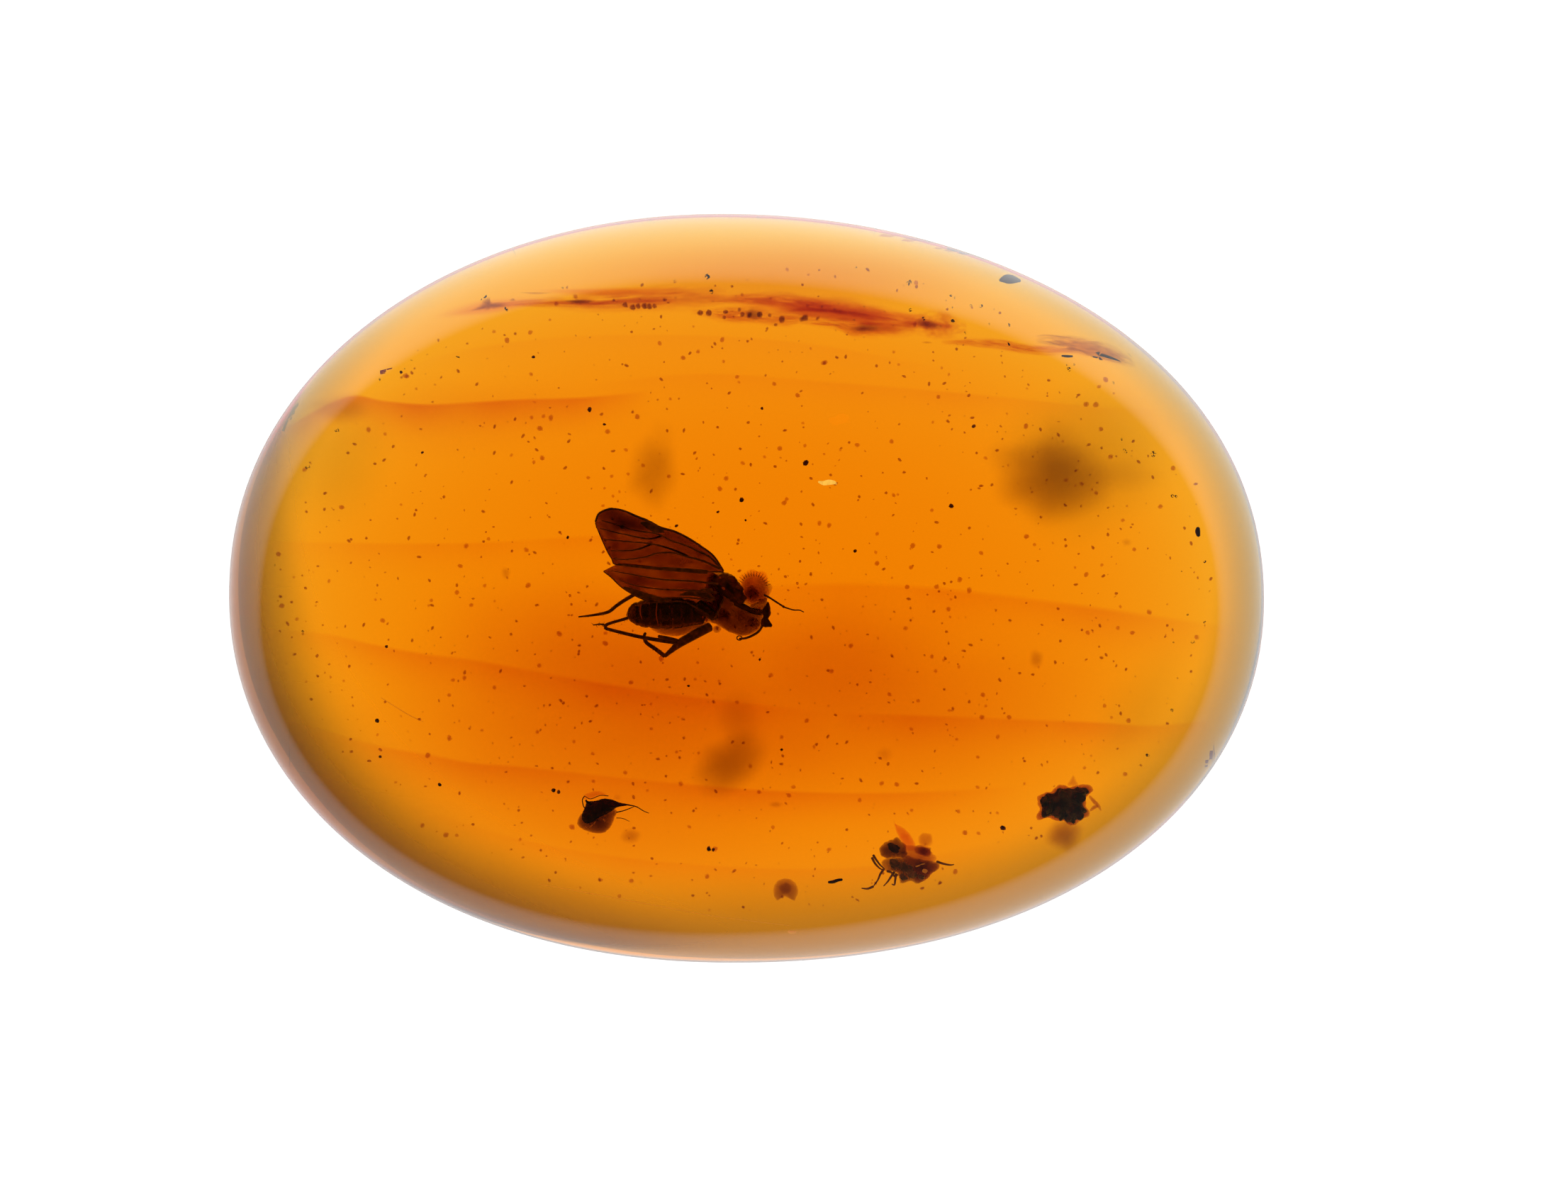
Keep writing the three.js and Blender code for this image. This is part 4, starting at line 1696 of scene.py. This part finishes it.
@dataclass
class FlowLayers:
    """The curved skins left where one pour of resin ran over another."""

    lowest: float = 1.8
    gap: float = 0.42  # between one layer and the next
    dip: float = 0.25  # how far a layer sinks towards the end of its fade
    layers: Sequence[FlowLayer] = (
        FlowLayer(((-10.9, 3.55), (-9.9, 4.15), (-9.14, 4.44), (-8.4, 4.32), (-7.4, 4.24), (-6.2, 4.3),
                   (-5.15, 4.36), (-3.8, 4.4), (-2.2, 4.55)), 0.95, 0.42),
        FlowLayer(((-11.3, 1.08), (-9.77, 1.05), (-8.0, 1.02), (-6.0, 1.05), (-3.5, 1.2), (-1.0, 1.3)),
                  1.1, 0.12),
        FlowLayer(((-11.3, -0.96), (-9.77, -1.07), (-8.73, -1.3), (-7.5, -1.53), (-6.32, -1.68), (-4.0, -2.1),
                   (-1.5, -2.5), (2.0, -2.9)), 1.2, 0.24),
        FlowLayer(((-10.6, -3.12), (-9.86, -3.3), (-8.58, -3.66), (-7.27, -3.89), (-6.32, -4.07),
                   (-5.15, -4.16), (-2.5, -4.45), (0.5, -4.7), (3.5, -4.75), (6.5, -4.6)), 1.1, 0.24),
        FlowLayer(((-0.5, -0.05), (1.8, 0.1), (4.05, 0.03), (7.0, -0.3), (10.46, -0.79), (11.44, -0.9)),
                  1.6, 0.2),
        FlowLayer(((2.0, -2.9), (5.0, -3.0), (8.01, -3.12), (9.32, -3.2), (10.82, -3.07)), 1.1, 0.24),
        FlowLayer(((-3.8, 4.7), (-1.0, 4.95), (2.0, 4.75), (5.0, 4.5), (8.0, 4.2), (9.8, 4.1)), 0.9, 0.1),
        FlowLayer(((-8.5, 5.0), (-6.0, 5.6), (-3.0, 5.85), (1.0, 5.7), (5.0, 5.0)), 0.9, 0.06),
        FlowLayer(((-8.0, -5.0), (-5.0, -5.9), (-1.5, -6.4), (2.5, -6.5), (6.0, -5.9)), 0.8, 0.08),
    )

    def build(self, workshop: Workshop) -> None:
        """Makes all the layers as one piece.

        Args:
            workshop: what makes the pieces.
        """
        draft = Draft(seed=71)
        for index, layer in enumerate(self.layers):
            self._draw(draft, layer, index)
        stain = StainAndShadeFinish("flow_layer", (380.0, 1450.0, 1450.0))
        workshop.make("flow_layers", draft, stain.dress())

    def _draw(self, draft: Draft, layer: FlowLayer, index: int) -> None:
        """Draws one layer.

        Args:
            draft: what it is drawn in.
            layer: its line, reach and thickness.
            index: picks its height and its waves.
        """
        def thick(place: float, share: np.ndarray) -> np.ndarray:
            """Gives the layer's thickness: sharp at its line, then fading.

            Args:
                place: how far along the layer, 0 to 1.
                share: how far down its fade.

            Returns:
                A thickness for each share.
            """
            ends = np.clip(math.sin(math.pi * place) * 1.6, 0, 1)
            wander = 1 + 0.5 * noise.noise(Vector((place * 9, index * 3.1, 0.0)))
            section = np.minimum(share / 0.07, 1) * (1 - share) ** 2
            return layer.thickness * ends * wander * section

        def lift(place: float, share: np.ndarray) -> np.ndarray:
            """Gives the layer's waves."""
            return 0.08 * share * math.sin(7 * place + index)

        knots = np.asarray(layer.line, float)
        height = np.full(len(knots), self.lowest + self.gap * index)
        front = np.column_stack([knots, height])
        rear = np.column_stack([knots - (0.0, layer.reach), height - self.dip])
        draft.panel(front, rear, thick, lift, steps=90, across=28)


@dataclass(frozen=True)
class Cloud:
    """A soft dark or hazy patch: a lens that thins away to nothing at its edge."""

    centre: tuple[float, float, float]
    half_sizes: Flat
    thickness: float
    turn: float = 0.0
    ragged: float = 0.1

    def outline(self, seed: int) -> list[Flat]:
        """Draws the lens's outline, a wobbly turned oval.

        Args:
            seed: picks its wobbles.

        Returns:
            The outline's points.
        """
        luck = random.Random(seed)
        angle = math.radians(self.turn)
        points = []
        for step in range(14):
            bearing = 2 * math.pi * step / 14
            swell = 1 + luck.uniform(-self.ragged, self.ragged)
            x = self.half_sizes[0] * math.cos(bearing) * swell
            y = self.half_sizes[1] * math.sin(bearing) * swell
            points.append((self.centre[0] + x * math.cos(angle) - y * math.sin(angle),
                           self.centre[1] + x * math.sin(angle) + y * math.cos(angle)))
        return points


@dataclass
class SoftClouds:
    """Three dark clouds, a broad darker pour and a greenish haze at both ends."""

    dark: Sequence[Cloud] = (
        Cloud((7.12, 2.45, 2.2), (1.5, 1.15), 1.5),
        Cloud((7.25, 3.1, 3.3), (0.7, 0.9), 0.4),
        Cloud((6.1, 2.95, 3.75), (0.7, 0.5), 0.3),
        Cloud((8.5, 2.6, 4.1), (1.3, 0.5), 0.25),
        Cloud((-0.42, -4.09, 2.2), (1.15, 0.72), 1.2, 38.0),
        Cloud((-0.2, -3.1, 3.2), (0.6, 0.9), 0.35),
        Cloud((-2.16, 2.6, 2.6), (0.75, 0.95), 0.7),
        Cloud((-2.0, 3.2, 3.2), (0.5, 0.8), 0.2),
    )
    stains: Sequence[Cloud] = (
        Cloud((7.36, -5.76, 3.4), (0.5, 0.46), 0.6),
        Cloud((-2.69, -5.79, 3.6), (0.28, 0.22), 0.3),
        Cloud((-5.59, 0.31, 3.8), (0.13, 0.17), 0.2),
        Cloud((6.71, -1.68, 3.8), (0.2, 0.26), 0.25),
        Cloud((8.8, 1.02, 3.8), (0.14, 0.12), 0.15),
        Cloud((0.67, -5.06, 3.6), (0.2, 0.09), 0.2),
        Cloud((-9.4, 4.1, 3.2), (0.8, 0.45), 0.2),
        Cloud((3.2, -3.9, 3.0), (0.25, 0.2), 0.12),
        Cloud((-3.0, -4.9, 3.4), (0.12, 0.1), 0.12),
    )
    pours: Sequence[Cloud] = (
        Cloud((0.6, -2.4, 3.4), (9.5, 2.9), 1.5, -4.0, 0.05),
        Cloud((-3.6, -1.2, 2.2), (4.5, 2.0), 0.6, -8.0, 0.05),
        Cloud((2.4, -1.6, 1.6), (2.6, 1.6), 0.5, 10.0, 0.1),
        Cloud((-6.5, 3.9, 2.8), (4.0, 1.1), 0.35, 3.0, 0.08),
        Cloud((-3.6, -4.0, 4.8), (6.6, 3.1), 0.9, -6.0, 0.05),
        Cloud((0.8, 7.15, 1.7), (5.6, 1.1), 0.7, 0.0, 0.03),
    )
    hazes: Sequence[Cloud] = (
        Cloud((8.0, 2.9, 3.2), (2.5, 2.1), 1.5, 10.0),
        Cloud((-9.5, 2.9, 3.4), (1.4, 1.9), 0.8, -20.0),
        Cloud((9.1, -3.2, 3.2), (1.2, 2.2), 0.7, -30.0),
    )

    def build(self, workshop: Workshop) -> None:
        """Makes one piece of each kind of cloud.

        Args:
            workshop: what makes the pieces.
        """
        kinds = (
            ("dark_clouds", self.dark, (560.0, 690.0, 700.0)),
            ("brown_stains", self.stains, (1300.0, 1900.0, 1800.0)),
            ("deep_pours", self.pours, (130.0, 350.0, 400.0)),
            ("green_haze", self.hazes, (190.0, 150.0, 60.0)),
        )
        for seed, (name, clouds, lost) in enumerate(kinds, start=81):
            draft = Draft(seed=seed)
            for index, cloud in enumerate(clouds):
                draft.pebble(cloud.outline(seed * 10 + index), cloud.centre[2], cloud.thickness,
                             Profile.FEATHERED, around=72, rings=20, lumps=0.15)
            workshop.make(name, draft, StainAndShadeFinish(name, lost).dress())


@dataclass
class Specks:
    """Dust, droppings and tiny bubbles through the whole stone."""

    fine_count: int = 1150
    faint_count: int = 280
    bold: Sequence[tuple[float, float, float]] = (
        (1.37, 2.86, 0.07), (2.51, 0.82, 0.045), (4.74, 1.86, 0.055), (-0.12, 2.0, 0.05),
        (-1.63, 1.4, 0.035), (-0.67, 1.72, 0.03), (-4.15, 1.13, 0.035), (-4.95, 5.31, 0.04),
        (-8.01, 4.96, 0.035), (-3.64, 4.09, 0.05), (0.35, 4.12, 0.035), (5.26, 3.71, 0.04),
        (5.94, -5.6, 0.06), (0.81, -3.79, 0.035), (-4.48, -4.73, 0.05), (-4.36, -4.77, 0.045),
        (-8.57, -3.12, 0.05), (-8.5, -3.95, 0.035), (-7.12, -4.6, 0.045), (-0.88, -6.09, 0.05),
        (-0.78, -6.11, 0.04), (-1.35, -2.31, 0.03), (-0.03, 1.53, 0.025), (-8.35, -1.4, 0.035),
        (-7.52, 3.1, 0.03), (-3.3, 3.75, 0.03), (0.3, -1.7, 0.028))

    def build(self, workshop: Workshop) -> None:
        """Makes the specks as three joined pieces.

        Args:
            workshop: what makes the pieces.
        """
        luck = random.Random(91)
        grit = Draft(seed=90)
        for x, y, size in self.bold:
            self._grain(grit, luck, x, y, size, 0.3)
        # The grit's emission is a painted glow standing in for light coming through it.
        finish = ShellFinish("grit", (0.02, 0.008, 0.004), (0.4, 0.1, 0.03), grain=0.1, painted_glow=0.3)
        workshop.make("bold_specks", grit, finish.dress())
        dust = Draft(seed=91)
        for _ in range(self.fine_count):
            x, y = self._spot(luck)
            self._grain(dust, luck, x, y, luck.choice((0.017, 0.021, 0.028, 0.038)), 0.8)
        workshop.make("dust_specks", dust, StainAndShadeFinish("dust", (12000.0, 19000.0, 20000.0)).dress())
        faint = Draft(seed=92)
        for _ in range(self.faint_count):
            x, y = self._spot(luck)
            self._grain(faint, luck, x, y, luck.uniform(0.03, 0.07), 0.3)
        workshop.make("faint_specks", faint, StainAndShadeFinish("faint_speck", (4200.0, 8000.0, 8600.0)).dress())

    @staticmethod
    def _spot(luck: random.Random) -> Flat:
        """Picks a place inside the outline.

        Args:
            luck: gives the place.

        Returns:
            The place.
        """
        while True:
            x, y = luck.uniform(-11, 11), luck.uniform(-7.6, 7.4)
            if (x / 11) ** 2 + (y / 7.6) ** 2 < 1:
                return x, y

    @staticmethod
    def _grain(draft: Draft, luck: random.Random, x: float, y: float, size: float, spread: float) -> None:
        """Draws one lumpy grain; spread is how long it may be."""
        stretch = 1 + spread * luck.random()
        draft.blob((x, y, luck.uniform(2.2, 6.0)), (size * stretch, size, size), turn=luck.uniform(0, 180),
                   lumps=0.4, rings=3, around=7)


# ---------------------------------------------------------------- table, light and camera


@dataclass
class LightTable:
    """A pale glowing table under the stone and a dim soft surround."""

    half_size: float = 0.6
    gap: float = 0.00002
    glow: float = 1.1
    glow_far: float = 0.16
    bright_oval: Colour = (0.026, 0.0196, 1.0)  # half sizes of the evenly bright oval, in metres
    dim_from: float = 1.9  # where the glow has faded, in those half sizes
    horizon: float = 0.16
    overhead: float = 0.0

    def build(self) -> None:
        """Makes the table and the surround."""
        size = self.half_size
        mesh = bpy.data.meshes.new("table")
        corners = [(-size, -size, -self.gap), (size, -size, -self.gap), (size, size, -self.gap),
                   (-size, size, -self.gap)]
        mesh.from_pydata(corners, [], [(0, 1, 2, 3)])
        mesh.materials.append(self._glow())
        table = bpy.data.objects.new("table", mesh)
        bpy.context.scene.collection.objects.link(table)
        self._surround()

    def _glow(self) -> bpy.types.Material:
        """Makes the table's glow: even under the stone, fading far out.

        Returns:
            The material.
        """
        graph = Graph("light_table")
        place = graph.node("ShaderNodeNewGeometry", output="Position")
        oval = graph.node("ShaderNodeVectorMath", {"operation": "DIVIDE"}, {0: place, 1: self.bright_oval})
        far = graph.node("ShaderNodeVectorMath", {"operation": "LENGTH"}, {0: oval}, output="Value")
        strength = graph.node(
            "ShaderNodeMapRange", {"interpolation_type": "SMOOTHSTEP"},
            {"Value": far, "From Min": 1.0, "From Max": self.dim_from,
             "To Min": self.glow, "To Max": self.glow * self.glow_far})
        glow = graph.node("ShaderNodeEmission", values={"Color": (1.0, 1.0, 1.0), "Strength": strength})
        graph.tree.links.new(glow.socket, graph.output.inputs["Surface"])
        return graph.material

    def _surround(self) -> None:
        """Lights the surround: dim at the horizon, dark overhead."""
        world = bpy.data.worlds.new("surround")
        bpy.context.scene.world = world
        world.use_nodes = True
        tree = world.node_tree
        direction = tree.nodes.new("ShaderNodeTexCoord")
        parts = tree.nodes.new("ShaderNodeSeparateXYZ")
        level = tree.nodes.new("ShaderNodeMapRange")
        level.inputs["To Min"].default_value = self.horizon
        level.inputs["To Max"].default_value = self.overhead
        tree.links.new(direction.outputs["Generated"], parts.inputs[0])
        tree.links.new(parts.outputs["Z"], level.inputs["Value"])
        background = tree.nodes["Background"]
        background.inputs["Color"].default_value = (1.0, 1.0, 1.0, 1.0)
        tree.links.new(level.outputs["Result"], background.inputs["Strength"])


@dataclass
class OverheadCamera:
    """A camera straight above the stone."""

    aim: Flat = (0.862, -0.099)
    distance: float = 300.0
    seen_at: float = 3.0
    field_width: float = 36.34  # width of the view at the seen plane
    sensor: float = 36.0

    def build(self) -> None:
        """Makes the camera and gives it to the scene."""
        lens = bpy.data.cameras.new("overhead")
        lens.sensor_width = self.sensor
        lens.lens = self.sensor * (self.distance - self.seen_at) / self.field_width
        lens.clip_start = 0.01
        camera = bpy.data.objects.new("overhead", lens)
        camera.location = (self.aim[0] * MM, self.aim[1] * MM, self.distance * MM)
        bpy.context.scene.collection.objects.link(camera)
        bpy.context.scene.camera = camera

    @property
    def eye(self) -> tuple[float, float, float]:
        """Where the camera stands, in millimetres."""
        return (*self.aim, self.distance)


def set_light_paths(bounces: int) -> None:
    """Lets light cross every skin sealed in the stone, and shows plain colours.

    Args:
        bounces: how many skins a ray may cross.
    """
    scene = bpy.context.scene
    scene.view_settings.view_transform = "Standard"
    scene.cycles.max_bounces = bounces
    scene.cycles.transmission_bounces = bounces
    scene.cycles.transparent_max_bounces = bounces


def main() -> None:
    """Builds the stone, what is sealed in it, the table and the camera."""
    logging.basicConfig(level=logging.INFO, format="%(name)s %(message)s")
    form = StoneForm.from_node(NODE)
    finish = AmberFinish()
    camera = OverheadCamera()
    workshop = Workshop(SightLine(form, camera.eye, camera.seen_at, finish.bend))
    camera.build()
    AmberStone(form, finish).build(workshop)
    EdgeShade(form).build(workshop)
    for sealed in (WingedBug(), CurledMidge(), SpreadMidge(), HuddledBeetle(), SmallRemains(), BarkStreak(),
                   FlowLayers(), SoftClouds(), Specks()):
        sealed.build(workshop)
    LightTable().build()
    set_light_paths(BOUNCES)


if __name__ == "__main__":
    main()
